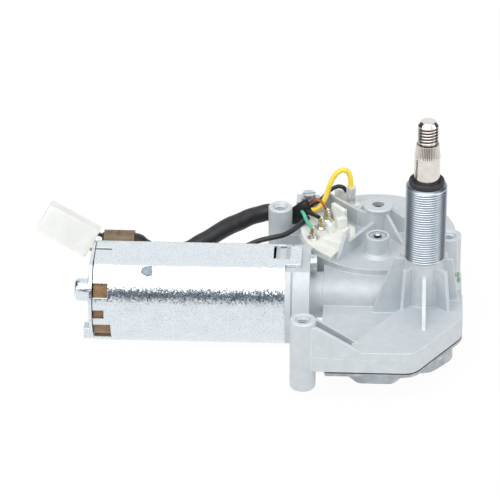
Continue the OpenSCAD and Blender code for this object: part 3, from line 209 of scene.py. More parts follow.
def linked(name, mesh, sharp):
    """An object of the mesh, smooth where its faces meet at less than sharp degrees."""
    mesh.shade_smooth()
    mesh.set_sharp_from_angle(angle=math.radians(sharp))
    piece = bpy.data.objects.new(name, mesh)
    bpy.context.scene.collection.objects.link(piece)
    return piece


def shell(name, grids, loop=False, sharp=40.0):
    """One mesh from grids of closed rings in millimetres: neighbouring rings are joined by
    quads, and either the last ring joins the first (loop) or both ends get a face. Doubled
    corners are merged and the faces turned outwards."""
    points, faces, start = [], [], 0
    for grid in grids:
        rows, around = grid.shape[:2]
        ring = start + np.arange(rows * around).reshape(rows, around)
        low, high = (ring, np.roll(ring, -1, 0)) if loop else (ring[:-1], ring[1:])
        faces += np.stack([low, np.roll(low, -1, 1), np.roll(high, -1, 1), high],
                          -1).reshape(-1, 4).tolist()
        if not loop:
            faces += [ring[0].tolist(), ring[-1].tolist()]
        points.append(grid.reshape(-1, 3))
        start += rows * around
    mesh = bpy.data.meshes.new(name)
    mesh.from_pydata((np.concatenate(points) * MM).tolist(), [], faces)
    edit = bmesh.new()
    edit.from_mesh(mesh)
    bmesh.ops.remove_doubles(edit, verts=edit.verts, dist=1e-7)
    bmesh.ops.dissolve_degenerate(edit, edges=edit.edges, dist=1e-8)
    bmesh.ops.recalc_face_normals(edit, faces=edit.faces)
    edit.to_mesh(mesh)
    edit.free()
    return linked(name, mesh, sharp)


CAD_SHARP = 35.0


def copy_of(node, name, flatten=False):
    """A copy of a CAD node with its doubled corners merged. Flatten joins the triangles of
    each flat face into one, so that a bevel can run along its edges."""
    mesh = bpy.data.meshes.new(name)
    edit = bmesh.new()
    edit.from_mesh(nodes[node].data)
    bmesh.ops.remove_doubles(edit, verts=edit.verts, dist=2e-6)
    if flatten:
        bmesh.ops.dissolve_limit(edit, angle_limit=math.radians(1.5), verts=edit.verts,
                                 edges=edit.edges)
    edit.to_mesh(mesh)
    edit.free()
    if "custom_normal" in mesh.attributes:
        mesh.attributes.remove(mesh.attributes["custom_normal"])
    return linked(name, mesh, CAD_SHARP)


def dress(piece, material, body="housing_group"):
    """Gives the piece its only material and its body."""
    piece.data.materials.clear()
    piece.data.materials.append(material)
    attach(piece, body)
    return piece


def paint(material, *names):
    """Puts a material in every slot of CAD nodes that keep their own mesh."""
    for name in names:
        for place in nodes[name].material_slots:
            place.material = material


NOISE_LOW, NOISE_HIGH = 0.32, 0.68
# painted highlight on softened edges: it starts where the dot product of the softened and the
# plain normal falls below the first value and is full at the second
HIGHLIGHT_START, HIGHLIGHT_FULL = 0.998, 0.95


def surface_of(name, dark_hex, light_hex, grain, roughness, bump, edge=0.0, metallic=0.0,
               stretch=(1, 1, 1), edge_highlight=None, spots=(), spot_hex="", spot_size=(1, 2), **sockets):
    """A material whose colour and roughness drift with a noise of one size and whose skin is
    bumped by a second: grain = size mm of the drift, roughness = (low, high), bump = (height
    mm, size mm), edge = radius mm of softened edges, edge_highlight = hex colour of a painted
    highlight on those edges, from where the softened normal leaves the plain one (their dot
    product falls from HIGHLIGHT_START to HIGHLIGHT_FULL), spots = points mm with a stain of
    spot_hex, full to spot_size[0] and gone at spot_size[1]. The noise is spread from NOISE_LOW
    to NOISE_HIGH over the full range."""
    material, tree, out = blank(name)
    place = add(tree, "ShaderNodeTexCoord")
    scaled = add(tree, "ShaderNodeMapping", {"Vector": place.outputs["Object"], "Scale": stretch})
    drift = add(tree, "ShaderNodeTexNoise", {"Vector": scaled.outputs[0], "Scale": 1000 / grain,
                                             "Detail": 5.0, "Roughness": 0.6})
    spread = add(tree, "ShaderNodeMapRange", {"Value": drift.outputs[0],
                                              "From Min": NOISE_LOW, "From Max": NOISE_HIGH})
    colour = add(tree, "ShaderNodeMix", {"Factor": spread.outputs[0], 6: srgb(dark_hex),
                                         7: srgb(light_hex)}, data_type="RGBA")
    stain = 0.0
    for spot in spots:
        away = add(tree, "ShaderNodeVectorMath", {0: place.outputs["Object"],
                                                  1: [c * MM for c in spot]},
                   operation="DISTANCE")
        near = add(tree, "ShaderNodeMapRange", {"Value": away.outputs["Value"],
                                                "From Min": spot_size[1] * MM,
                                                "From Max": spot_size[0] * MM})
        stain = add(tree, "ShaderNodeMath", {0: near.outputs[0], 1: stain},
                    operation="MAXIMUM").outputs[0]
    if spots:
        colour = add(tree, "ShaderNodeMix", {"Factor": stain, 6: colour.outputs[2],
                                             7: srgb(spot_hex)}, data_type="RGBA")
    gloss = add(tree, "ShaderNodeMapRange", {"Value": drift.outputs[0],
                                             "From Min": NOISE_LOW, "From Max": NOISE_HIGH,
                                             "To Min": roughness[1], "To Max": roughness[0]})
    skin = add(tree, "ShaderNodeTexNoise", {"Vector": scaled.outputs[0], "Scale": 1000 / bump[1],
                                            "Detail": 3.0, "Roughness": 0.55})
    relief = add(tree, "ShaderNodeBump", {"Strength": 1.0, "Distance": bump[0] * MM,
                                          "Height": skin.outputs[0]})
    shader = add(tree, "ShaderNodeBsdfPrincipled", {
        "Base Color": colour.outputs[2], "Metallic": metallic, "Roughness": gloss.outputs[0],
        "Normal": relief.outputs[0], **sockets})
    if edge:
        soft = add(tree, "ShaderNodeBevel", {"Radius": edge * MM}, samples=6)
        tree.links.new(soft.outputs[0], relief.inputs["Normal"])
        # painted highlight: a lighter colour on the softened edges, as if they caught the light
        if edge_highlight:
            plain = add(tree, "ShaderNodeNewGeometry")
            same = add(tree, "ShaderNodeVectorMath", {0: soft.outputs[0],
                                                      1: plain.outputs["Normal"]},
                       operation="DOT_PRODUCT")
            highlight_mask = add(tree, "ShaderNodeMapRange", {"Value": same.outputs["Value"],
                                                   "From Min": HIGHLIGHT_START,
                                                   "From Max": HIGHLIGHT_FULL})
            highlighted = add(tree, "ShaderNodeMix", {"Factor": highlight_mask.outputs[0], 6: colour.outputs[2],
                                                 7: srgb(edge_highlight)}, data_type="RGBA")
            tree.links.new(highlighted.outputs[2], shader.inputs["Base Color"])
    tree.links.new(shader.outputs[0], out.inputs["Surface"])
    return material


SHEATH_R = 3.6
sheath_route = [(-55.5, 59.4, -15.8), (-59.5, 59.8, -15), (-63.2, 59.6, -14.6),
                (-66.4, 58.8, -15.1), (-70.4, 57, -15.5), (-74.3, 54.6, -16.4),
                (-78.3, 52, -17), (-82.2, 49, -18), (-86.1, 46, -19.3), (-90, 43.4, -20.4),
                (-93.9, 41, -22), (-98.7, 39.5, -22.7), (-103.9, 38.4, -22.4),
                (-109.4, 36.9, -20.6), (-113, 35.2, -17.6), (-115.6, 34.1, -15.3),
                (-128.6, 34.1, -15.3)]
# extruded soft PVC: satin, with the slight waviness of a hose pulled over wires
sheath_pvc = surface_of("soft_pvc_sheath", "#17171a", "#26272b", 3.0, (0.38, 0.55), (0.05, 2.5),
                        **{"Specular IOR Level": 0.45})
sheath_path = soft_path(sheath_route, 120)
swell = 0.98 + 0.02 * np.cos(np.linspace(0, 21, len(sheath_path)))
sheath = shell("harness_sheath_tube", [tube(sheath_path, SHEATH_R * swell, 28)])
dress(sheath, sheath_pvc)
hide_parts("harness_sheath")

# the sheath's end, pressed flat where the three wires leave it
tail_route = [(-57, 59.6, -15.6), (-53.4, 57.6, -15.4), (-50.3, 56.6, -13),
              (-47.6, 55.8, -10.4), (-45.9, 55.3, -8.9)]
tail_path = soft_path(tail_route, 40)
tail_along = np.linspace(0, 1, len(tail_path))
tail_flat = np.interp(tail_along, [0, 0.35, 1], [0.95, 0.7, 0.5])
tail_wide = SHEATH_R * np.interp(tail_along, [0, 0.5, 0.9, 1], [0.98, 1.0, 1.0, 0.94])
sheath_end = shell("sheath_pressed_end", [tube(tail_path, tail_wide, 28, tail_flat)])
dress(sheath_end, sheath_pvc)
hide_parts("sheath_tail")

# Motor lead: the thicker black wire from the terminal plate to the brushes. It runs along
# the can under the sheath and enters a notch at the rear.
motor_route = [(-46.6, 48.6, -10.6), (-49.7, 44.6, -11.6), (-52.8, 41.4, -12.8),
               (-56.3, 38.6, -13.4), (-60.7, 37, -13.8), (-66, 36, -14.8), (-74, 34.6, -18),
               (-84, 33.2, -22), (-98, 33, -24), (-112, 33, -23.6), (-119, 32.9, -22.4),
               (-123, 32.2, -21.1), (-125.8, 30.2, -19.8), (-126.6, 28.2, -19.1)]
LEAD_R = 1.05
# extruded PVC insulation: smoother than the sheath, so a thin bright line runs along it
lead_pvc_black = surface_of("wire_pvc_black", "#1b1b1e", "#2a2a2f", 1.5, (0.3, 0.42),
                            (0.02, 0.8), **{"Specular IOR Level": 0.5})
motor_path = soft_path(motor_route, 110)
motor_wire = dress(shell("motor_lead_wire", [tube(motor_path, LEAD_R, 16)]), lead_pvc_black)
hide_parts("motor_lead")

# Yellow lead: the feed wire. It arches over the terminal plate and is crimped in a tinned
# spade at the rear. Its soft PVC lets a little light in and stays bright in its own shade.
yellow_route = [(-47.6, 55.8, -10.4), (-45.2, 54.9, -10.5), (-42.8, 55, -9.9), (-40.9, 56.3, -8),
                (-39.2, 58, -4.3), (-37.7, 58.5, 0.6), (-35.3, 59, 4.5), (-32.5, 59.4, 5.7),
                (-30.2, 59.6, 3.4), (-29.5, 59.6, -2.4)]
WIRE_DEPTH = {"Subsurface Weight": 0.15, "Subsurface Scale": 0.0008,
              "Subsurface Radius": (1, 1, 1)}
lead_pvc_yellow = surface_of("wire_pvc_yellow", "#f6d336", "#fde45c", 2.0, (0.32, 0.42),
                             (0.02, 0.9), **WIRE_DEPTH)
yellow_path = soft_path(yellow_route, 90)
yellow_wire = dress(shell("yellow_lead_wire", [tube(yellow_path, LEAD_R, 18, hint=(0, 1, 0))]),
                    lead_pvc_yellow)
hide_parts("yellow_lead")

# Short leads on the terminal plate: the black feed to the rear block, the teal park wire
# and a black one that ends on the plate. All are thin PVC wires out of the sheath.
black_route = [(-47.2, 56, -9.6), (-44, 57.4, -8.6), (-41.6, 58.8, -7.6), (-39.7, 60, -6),
               (-38.1, 61, -4.7), (-36.1, 62, -3.7), (-34.3, 62.5, -3.5), (-32.6, 62.4, -4),
               (-31.4, 62.2, -5.6)]
green_route = [(-49.4, 55.6, -11.6), (-48.6, 50.5, -9.6), (-47.7, 47, -9.8),
               (-46.6, 42.5, -9.4), (-45.2, 38.2, -8.8), (-44.7, 36.6, -9.4)]
stub_route = [(-47.8, 55.4, -10.6), (-46.4, 51.4, -9.6), (-44.4, 48.6, -9.2), (-42, 45.6, -8.8)]
lead_pvc_teal = surface_of("wire_pvc_teal", "#48b89a", "#68d0b2", 1.5, (0.32, 0.42),
                           (0.02, 0.9), **WIRE_DEPTH)
SHORT_LEAD_R, THIN_LEAD_R = 0.84, 0.735
for wire_name, route, radius, plastic, node, finish in (
        ("black_lead_wire", black_route, SHORT_LEAD_R, lead_pvc_black, "black_lead", "lead_black"),
        ("green_lead_wire", green_route, THIN_LEAD_R, lead_pvc_teal, "green_lead", "lead_green"),
        ("short_lead_wire", stub_route, SHORT_LEAD_R, lead_pvc_black, "short_lead", "lead_black")):
    wire = dress(shell(wire_name, [tube(soft_path(route, 60), radius, 14)]), plastic)
    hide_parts(node)

# Earth braid: bare copper strands twisted into a cord, from the earth tag over the plate.
# The copper is brown from the air, and bright where a strand turns to the light.
braid_route = [(-46.8, 55.6, -9), (-45.4, 54.5, -6.4), (-43.8, 53.8, -5.1), (-41.9, 52.6, -4.9),
               (-40.3, 51.5, -6.1), (-39.4, 50.9, -7.8)]
BRAID_R, STRAND_R, STRAND_COUNT, LAY_LENGTH = 0.6, 0.2, 6, 4.2
copper = surface_of("bare_copper", "#9c5230", "#d58a5c", 0.8, (0.22, 0.4), (0.01, 0.3),
                    metallic=1.0)
braid_path = soft_path(braid_route, 90)
braid_step = np.gradient(braid_path, axis=0)
braid_step /= np.linalg.norm(braid_step, axis=1, keepdims=True)
BRAID_HINT = (0.45, 0.89, 0)
braid_side = np.cross(braid_step, BRAID_HINT)
braid_side /= np.linalg.norm(braid_side, axis=1, keepdims=True)
braid_lift = np.cross(braid_step, braid_side)
braid_turns = path_length(braid_path) / LAY_LENGTH
braid_along = np.linspace(0, braid_turns * 2 * np.pi, len(braid_path))[:, None]
strands = [tube(braid_path + (BRAID_R - STRAND_R) * (np.cos(braid_along + start) * braid_side
                                                   + np.sin(braid_along + start) * braid_lift),
                STRAND_R, 8, hint=(0.45, 0.89, 0.1))
           for start in np.linspace(0, 2 * np.pi, STRAND_COUNT, endpoint=False)]
braid = dress(shell("earth_braid_strands", strands), copper)
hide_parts("earth_braid")

# Plug: a milky nylon shell, moulded in one piece, with the three wires running into it. It
# hangs behind the can, and its terminals are stamped from brass.
plug_wires = [[(-128.2, 34.4, -13.4), (-129.6, 34.6, -12.6), (-131, 34.55, -12.3),
               (-134.6, 34.95, -10.4)],
              [(-128.2, 33.2, -15.6), (-130.4, 33.7, -15.9), (-132.3, 34, -15.6),
               (-136.3, 34.4, -13.5)],
              [(-128.2, 34.4, -17.2), (-131, 33.9, -18.9), (-134, 33.5, -18.7),
               (-138, 33.95, -16.6)]]
plug_wire_group = shell("plug_lead_wires",
                        [tube(soft_path(route, 40), THIN_LEAD_R, 14) for route in plug_wires])
plug_wire_group.data.materials.clear()
for plastic in (lead_pvc_black, lead_pvc_teal, lead_pvc_yellow):
    plug_wire_group.data.materials.append(plastic)
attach(plug_wire_group, "housing_group")
wire_faces = len(plug_wire_group.data.polygons) // 3
plug_wire_group.data.polygons.foreach_set(
    "material_index", np.repeat([0, 1, 2], wire_faces).astype(np.int32))
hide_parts("plug_leads")

# unfilled nylon: milky, lets light through, so the terminals show faintly
plug_nylon = surface_of("milky_nylon", "#f1f4ec", "#f9fbf6", 5.0, (0.4, 0.5), (0.01, 1.5),
                        **{"Transmission Weight": 0.12, "Subsurface Weight": 0.35,
                           "Subsurface Scale": 0.003, "Subsurface Radius": (1, 1, 1), "IOR": 1.5})
plug_shell = copy_of("plug_housing", "plug_shell", flatten=True)
bevel = plug_shell.modifiers.new("moulded_edges", "BEVEL")
bevel.width, bevel.segments, bevel.limit_method = 0.4 * MM, 3, "ANGLE"
dress(plug_shell, plug_nylon)
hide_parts("plug_housing")
# stamped brass strip: yellow, fairly bright, with thin worn edges
brass = surface_of("stamped_brass", "#b48d3f", "#dcbb66", 1.5, (0.2, 0.36), (0.01, 0.5),
                   edge=0.15, metallic=1.0)
paint(brass, "plug_terminals", "contact_blades", "brush_holders")

# Gear housing: pressure die-cast aluminium, shot-blasted. Pale blue-grey and nearly matt,
# with softened edges that catch the light and a painted highlight along them, a dab of green
# inspection paint on the right wall and the thin flash of the die's parting line across the front
# wall.
cast = surface_of("die_cast_aluminium", "#c9cfd3", "#d0d6da", 4.0, (0.6, 0.68), (0.02, 0.45),
                  edge=0.5, metallic=0.45, edge_highlight="#e9edf0",
                  spots=[(13.6, 20.8, -19.8), (14.1, 20.4, -21.9)], spot_hex="#7fa77e",
                  spot_size=(0.9, 1.3))
housing = dress(copy_of("gear_housing", "gear_housing_casting"), cast)
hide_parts("gear_housing")
FRONT_Y = -42.4
flash_path = soft_path([(-49, FRONT_Y, -21.2), (-38, FRONT_Y, -21.7), (-28, FRONT_Y, -22.1),
                        (-17, FRONT_Y, -22.3), (-5.5, FRONT_Y, -22.4)], 60)
flash_r = 0.13 + 0.04 * np.sin(np.linspace(0, 55, len(flash_path)))
flash = dress(shell("casting_flash", [tube(flash_path, flash_r, 8)]), cast)

# Threads cut in the three posts: M6, seen in the countersunk mouths. They are tapped in the
# casting itself, so they have its colour and show by their shadows.


def lathe(profile, around, at=(0, 0, 0)):
    """Rings of a turned shape about the Z axis: profile rows are (radius, height), and a
    point is (r cos a, r sin a, h) + at."""
    r, h = np.array(profile, float).T
    angle = np.linspace(0, 2 * np.pi, around, endpoint=False)
    x, y = np.outer(r, np.cos(angle)), np.outer(r, np.sin(angle))
    return np.stack([x, y, np.outer(h, np.ones(around))], -1) + np.array(at)


def screw_thread(radius, depth, pitch, low, high, rows, around, at=(0, 0, 0), runout=0.6):
    """Rings of a screw thread about the Z axis: the radius falls by depth times
    (1 - cos(2 pi height / pitch - angle)) / 2, and the wave dies out within runout mm of
    both ends."""
    z, angle = np.meshgrid(np.linspace(low, high, rows),
                           np.linspace(0, 2 * np.pi, around, endpoint=False), indexing="ij")
    wave = 0.5 - 0.5 * np.cos(2 * np.pi * z / pitch - angle)
    fade = np.clip(np.minimum(z - low, high - z) / runout, 0, 1)
    r = radius - depth * fade * wave
    return np.stack([r * np.cos(angle), r * np.sin(angle), z], -1) + np.array(at)


POSTS = ((-46.1, -38.6, 0), (-57.8, 50.4, 0), (9.8, 29.4, 0))
POST_TOP, POST_CORE_R, POST_THREAD_LOW = -6.6, 2.5, -20.2
POST_THREAD_DEPTH, POST_PITCH, POST_AROUND = 0.34, 1.0, 40
tapped_rows = [np.concatenate([
    screw_thread(POST_CORE_R - 0.02, POST_THREAD_DEPTH, POST_PITCH, POST_THREAD_LOW,
                 POST_TOP - 1.0, 190, POST_AROUND, at),
    lathe([(POST_CORE_R + 0.3, POST_TOP - 1.1), (POST_CORE_R + 0.3, POST_THREAD_LOW)],
          POST_AROUND, at)])
    for at in POSTS]
tapped = dress(shell("post_threads", tapped_rows, loop=True, sharp=60), cast)

# Threaded sleeve: steel turned with an M16 thread and pressed into the column. Its zinc
# plate is bright and a little blue on the crests, and the grooves are darkened with painted shade.
SLEEVE_R, SLEEVE_TOP, SLEEVE_LOW, SLEEVE_BORE = 8.0, 32.2, -7.9, 5.42
LOWER_SEAT_R, UPPER_SEAT_R, UPPER_SEAT_LOW = 6.17, 6.18, 19.8
SLEEVE_PITCH, THREAD_DEPTH, SLEEVE_AROUND = 1.0, 0.5, 80


def paint_root_shade(material, root_shade_hex, crest, depth, steps=()):
    """Paints shade on a turned piece below its crest radius, fully at depth mm below it: painted
    shade in the grooves. Each step (low mm, high mm, change mm) moves the crest between two
    heights."""
    tree = material.node_tree
    shader = next(node for node in tree.nodes if node.type == "BSDF_PRINCIPLED")
    place = add(tree, "ShaderNodeTexCoord")
    part = add(tree, "ShaderNodeSeparateXYZ", {0: place.outputs["Object"]})
    level = add(tree, "ShaderNodeCombineXYZ", {0: part.outputs[0], 1: part.outputs[1]})
    r = add(tree, "ShaderNodeVectorMath", {0: level.outputs[0]},
            operation="LENGTH").outputs["Value"]
    for low, high, change in steps:
        move = add(tree, "ShaderNodeMapRange", {"Value": part.outputs[2], "From Min": low * MM,
                                                "From Max": high * MM, "To Max": -change * MM})
        r = add(tree, "ShaderNodeMath", {0: r, 1: move.outputs[0]}, operation="ADD").outputs[0]
    # painted shade: the colour darkens from just under the crest to depth mm below it
    deep = add(tree, "ShaderNodeMapRange", {"Value": r, "From Min": (crest - 0.15 * depth) * MM,
                                            "From Max": (crest - depth) * MM})
    unshaded = shader.inputs["Base Color"].links[0].from_socket
    root_shaded = add(tree, "ShaderNodeMix", {"Factor": deep.outputs[0], 6: unshaded,
                                       7: srgb(root_shade_hex)}, data_type="RGBA")
    tree.links.new(root_shaded.outputs[2], shader.inputs["Base Color"])


zinc = surface_of("zinc_plate", "#d0d8df", "#dfe5ea", 4.0, (0.28, 0.34), (0.002, 0.8),
                  metallic=1.0)
# painted shade in the thread grooves
paint_root_shade(zinc, "#8a949d", SLEEVE_R, THREAD_DEPTH)
outer = screw_thread(SLEEVE_R, THREAD_DEPTH, SLEEVE_PITCH, 0.6, SLEEVE_TOP - 0.8, 490,
                     SLEEVE_AROUND)
head = lathe([(SLEEVE_BORE, SLEEVE_TOP), (6.9, SLEEVE_TOP), (7.25, SLEEVE_TOP - 0.25)],
             SLEEVE_AROUND)
foot = lathe([(SLEEVE_R - 0.4, 0.3), (SLEEVE_R - 0.6, 0.02), (LOWER_SEAT_R, 0.01),
              (LOWER_SEAT_R, SLEEVE_LOW), (SLEEVE_BORE, SLEEVE_LOW),
              (SLEEVE_BORE, UPPER_SEAT_LOW), (UPPER_SEAT_R, UPPER_SEAT_LOW),
              (UPPER_SEAT_R, SLEEVE_TOP - 0.3)], SLEEVE_AROUND)
sleeve = dress(shell("threaded_sleeve_turned", [np.concatenate([outer, head[::-1], foot[::-1]])],
                     loop=True, sharp=70), zinc)
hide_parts("threaded_sleeve")

# Shaft seal: a moulded rubber ring with a lip, pressed on the top of the sleeve. It is
# matt black, and only its rounded edges catch a faint line of light.
rubber = surface_of("moulded_rubber", "#242427", "#34343a", 1.2, (0.5, 0.65), (0.03, 0.5))
seal = dress(shell("shaft_seal_ring", [lathe([
    (5.05, 30.1), (6.15, 30.1), (6.15, 32.22), (6.75, 32.22), (6.9, 32.45), (6.9, 33.5),
    (6.8, 33.9), (6.55, 34.15), (6.2, 34.2), (5.95, 34.05), (5.75, 33.75), (5.45, 33.7),
    (5.25, 34.1), (5.05, 34.55)], 80)], loop=True), rubber)
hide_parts("shaft_seal")

# Output shaft: ground steel with a serrated taper for the wiper arm, an undercut and an M8
# thread. Warm grey nickel plate.
nickel = surface_of("ground_nickelled_steel", "#dcd5cf", "#e9e3de", 3.0, (0.16, 0.22),
                    (0.003, 0.8), metallic=1.0)
SHAFT_LOW, TAPER_LOW, TAPER_TOP, NECK_TOP, CROWN_LOW, TIP_TOP = -36.7, 44.0, 49.6, 50.4, 57.5, 59.2
SHAFT_R, TAPER_R, NECK_R, TIP_R, TIP_PITCH, TIP_THREAD_DEPTH = 5.0, 4.4, 3.2, 4.0, 1.25, 0.68
SERRATIONS, SERRATION_DEPTH, ROOT_DEPTH = 40, 0.42, 0.5
SHAFT_AROUND = SERRATIONS * 4
# painted shade in the serration and thread roots: the crest falls along the taper and at the
# neck, and nothing above the thread is darkened
paint_root_shade(nickel, "#7d746d", SHAFT_R, ROOT_DEPTH, (
    (TAPER_LOW, TAPER_TOP, TAPER_R - SHAFT_R),
    (TAPER_TOP + 0.3, NECK_TOP - 0.3, TIP_R - TAPER_R),
    (CROWN_LOW, CROWN_LOW + 0.1, -TIP_R)))
rise_rows = np.linspace(TAPER_LOW + 0.3, TAPER_TOP - 0.2, 24)
angle = np.linspace(0, 2 * np.pi, SHAFT_AROUND, endpoint=False)
ridge = np.abs(2 * ((SERRATIONS * angle / (2 * np.pi)) % 1) - 1)
taper_r = np.interp(rise_rows, [TAPER_LOW, TAPER_TOP], [SHAFT_R, TAPER_R])
depth = SERRATION_DEPTH * np.clip(rise_rows - rise_rows[0], 0, 1)
r = taper_r[:, None] - depth[:, None] * ridge
taper = np.stack([r * np.cos(angle), r * np.sin(angle),
                  np.broadcast_to(rise_rows[:, None], r.shape)], -1)
tip = screw_thread(TIP_R, TIP_THREAD_DEPTH, TIP_PITCH, NECK_TOP + 0.1, CROWN_LOW, 130,
                   SHAFT_AROUND)
below = lathe([(0, SHAFT_LOW), (SHAFT_R - 0.4, SHAFT_LOW), (SHAFT_R, SHAFT_LOW + 0.4),
               (SHAFT_R, TAPER_LOW - 0.5), (SHAFT_R, TAPER_LOW)], SHAFT_AROUND)
neck = lathe([(4.2, TAPER_TOP - 0.05), (NECK_R + 0.1, TAPER_TOP), (NECK_R, TAPER_TOP + 0.1),
              (NECK_R, NECK_TOP - 0.1), (NECK_R + 0.2, NECK_TOP)], SHAFT_AROUND)
crown = lathe([(3.95, CROWN_LOW + 0.05), (3.8, TIP_TOP - 1.4), (3.1, TIP_TOP - 0.45),
               (2.85, TIP_TOP - 0.15), (2.5, TIP_TOP), (0, TIP_TOP)], SHAFT_AROUND)
shaft = dress(shell("output_shaft_turned", [np.concatenate([below, taper, neck, tip, crown])],
                    sharp=65), nickel, "output")
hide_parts("output_shaft")

# Hollow rivet: tinned, holds the contact carrier. Its rim is rolled over in the mouth of
# the boss, and the soft tin shines in patches.
tinned = surface_of("tin_plate", "#9ea5aa", "#cdd2d6", 1.5, (0.2, 0.34), (0.012, 0.5),
                    edge=0.15, metallic=1.0)
RIVET_AT, RIVET_Z = (-18.4, 26.8, 0), -6.8
rivet = dress(shell("hollow_rivet", [lathe([
    (1.2, -14.7), (1.93, -14.7), (1.93, RIVET_Z), (2.6, RIVET_Z + 0.03), (3.35, RIVET_Z + 0.1),
    (3.6, RIVET_Z + 0.35), (3.5, RIVET_Z + 0.6), (3.0, RIVET_Z + 0.75), (2.3, RIVET_Z + 0.7),
    (1.6, RIVET_Z + 0.45), (1.2, RIVET_Z)], 48, RIVET_AT)], loop=True), tinned)
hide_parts("contact_rivet")

# Motor can and end plate: deep-drawn steel, hot-dip galvanised. A fine spangle breaks its
# reflections: each crystal leans its own way, and small dull specks lie between them.
SPANGLE, SPANGLE_LEAN, CLOUD_SIZE, SKIN_SIZE, SKIN_HEIGHT = 0.6, 0.12, 6.0, 0.6, 0.035
CELL_SHARE, SPECK_SHARE, ROUGH_CRYSTAL, SMOOTH_CRYSTAL = 0.3, 0.45, 0.27, 0.17
galvanised, tree, out = blank("galvanised_steel")
place = add(tree, "ShaderNodeTexCoord")
cells = add(tree, "ShaderNodeTexVoronoi", {"Vector": place.outputs["Object"],
                                           "Scale": 1000 / SPANGLE, "Randomness": 1.0})
cloud = add(tree, "ShaderNodeTexNoise", {"Vector": place.outputs["Object"],
                                         "Scale": 1000 / CLOUD_SIZE, "Detail": 6.0,
                                         "Roughness": 0.65})
tone = add(tree, "ShaderNodeMix", {"Factor": CELL_SHARE, 6: cloud.outputs["Color"],
                                   7: cells.outputs["Color"]}, data_type="RGBA")
grey = add(tree, "ShaderNodeRGBToBW", {0: tone.outputs[2]})
spread = add(tree, "ShaderNodeMapRange", {"Value": grey.outputs[0], "From Min": 0.35,
                                          "From Max": 0.65})
colour = add(tree, "ShaderNodeMix", {"Factor": spread.outputs[0], 6: srgb("#dae3e9"),
                                     7: srgb("#e7eef3")}, data_type="RGBA")
gloss = add(tree, "ShaderNodeMapRange", {"Value": spread.outputs[0],
                                         "To Min": ROUGH_CRYSTAL, "To Max": SMOOTH_CRYSTAL})
soft = add(tree, "ShaderNodeBevel", {"Radius": 0.5 * MM}, samples=6)
fine = add(tree, "ShaderNodeTexNoise", {"Vector": place.outputs["Object"],
                                        "Scale": 1000 / SKIN_SIZE, "Detail": 3.0})
speck = add(tree, "ShaderNodeMapRange", {"Value": fine.outputs[0], "From Min": 0.56,
                                         "From Max": 0.7, "To Max": SPECK_SHARE})
colour = add(tree, "ShaderNodeMix", {"Factor": speck.outputs[0], 6: colour.outputs[2],
                                     7: srgb("#98a6b0")}, data_type="RGBA")
lean = add(tree, "ShaderNodeVectorMath", {0: cells.outputs["Color"], 1: (0.5, 0.5, 0.5)},
           operation="SUBTRACT")
lean = add(tree, "ShaderNodeVectorMath", {0: lean.outputs[0], "Scale": SPANGLE_LEAN},
           operation="SCALE")
facet = add(tree, "ShaderNodeVectorMath", {0: soft.outputs[0], 1: lean.outputs[0]})
facet = add(tree, "ShaderNodeVectorMath", {0: facet.outputs[0]}, operation="NORMALIZE")
relief = add(tree, "ShaderNodeBump", {"Strength": 1.0, "Distance": SKIN_HEIGHT * MM,
                                      "Height": fine.outputs[0], "Normal": facet.outputs[0]})
shader = add(tree, "ShaderNodeBsdfPrincipled", {
    "Base Color": colour.outputs[2], "Metallic": 1.0, "Roughness": gloss.outputs[0],
    "Normal": relief.outputs[0]})
tree.links.new(shader.outputs[0], out.inputs["Surface"])
can = dress(copy_of("motor_can", "motor_can_drawn"), galvanised)
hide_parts("motor_can")
back = dress(copy_of("end_plate", "end_plate_pressed"), galvanised)
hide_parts("end_plate")

# D-shaped stake mark struck in the can over a magnet's end: a low rim round a flat floor.
# The blow dulls and darkens the zinc.
CAN_AXIS_Y, CAN_AXIS_Z, CAN_R = 12.0, -25.1, 19.6
STAKE_X, STAKE_TURN, STAKE_LENGTH, STAKE_HALF_WIDTH = -106.3, math.radians(53.5), 4.2, 2.2
turn = np.linspace(0, 2 * np.pi, 48, endpoint=False)
shrink, lift = np.array([(1, -0.1), (1, 0.04), (0.93, 0.09), (0.84, 0.02), (0.02, 0.01)]).T
along = STAKE_X + np.minimum(shrink[:, None] * STAKE_LENGTH * np.cos(turn), 0.0)
across = STAKE_TURN + shrink[:, None] * STAKE_HALF_WIDTH / CAN_R * np.sin(turn)
reach = np.broadcast_to(CAN_R + lift[:, None], across.shape)
struck = surface_of("struck_zinc", "#7f8a92", "#939da4", 1.0, (0.5, 0.6), (0.02, 0.5),
                    metallic=0.6)
stake = dress(shell("stake_mark", [np.stack([along, CAN_AXIS_Y - reach * np.cos(across),
                                             CAN_AXIS_Z + reach * np.sin(across)], -1)]), struck)

# Brush cup: pressed from brown phenolic paper and held in the rear of the can. It shows in
# the notches, matt and slightly mottled.
phenolic = surface_of("phenolic_board", "#755838", "#96754d", 2.0, (0.4, 0.55), (0.02, 0.6),
                      edge=0.3)
cup = dress(copy_of("brush_plate", "brush_cup"), phenolic)
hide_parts("brush_plate")

# Terminal plate: moulded natural nylon, milky and a little see-through at thin walls.
# Brown flux lies round the soldered tabs.
TAB_AT = ((-44.1, 35.4), (-41.0, 43.7), (-38.7, 50.5))
nylon = surface_of("natural_nylon", "#e2e6e0", "#eef0eb", 3.0, (0.36, 0.5), (0.02, 1.2),
                   edge=0.35, spots=[(x, y, -12.2) for x, y in TAB_AT], spot_hex="#c4ab78",
                   spot_size=(2.1, 3.1), **{"Subsurface Weight": 0.3, "Subsurface Scale": 0.002,
                                            "Subsurface Radius": (1, 1, 1)})
plate = dress(copy_of("terminal_plate", "terminal_plate_moulded"), nylon)
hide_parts("terminal_plate")
block = dress(copy_of("rear_terminal_block", "rear_block_moulded"), nylon)
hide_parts("rear_terminal_block")

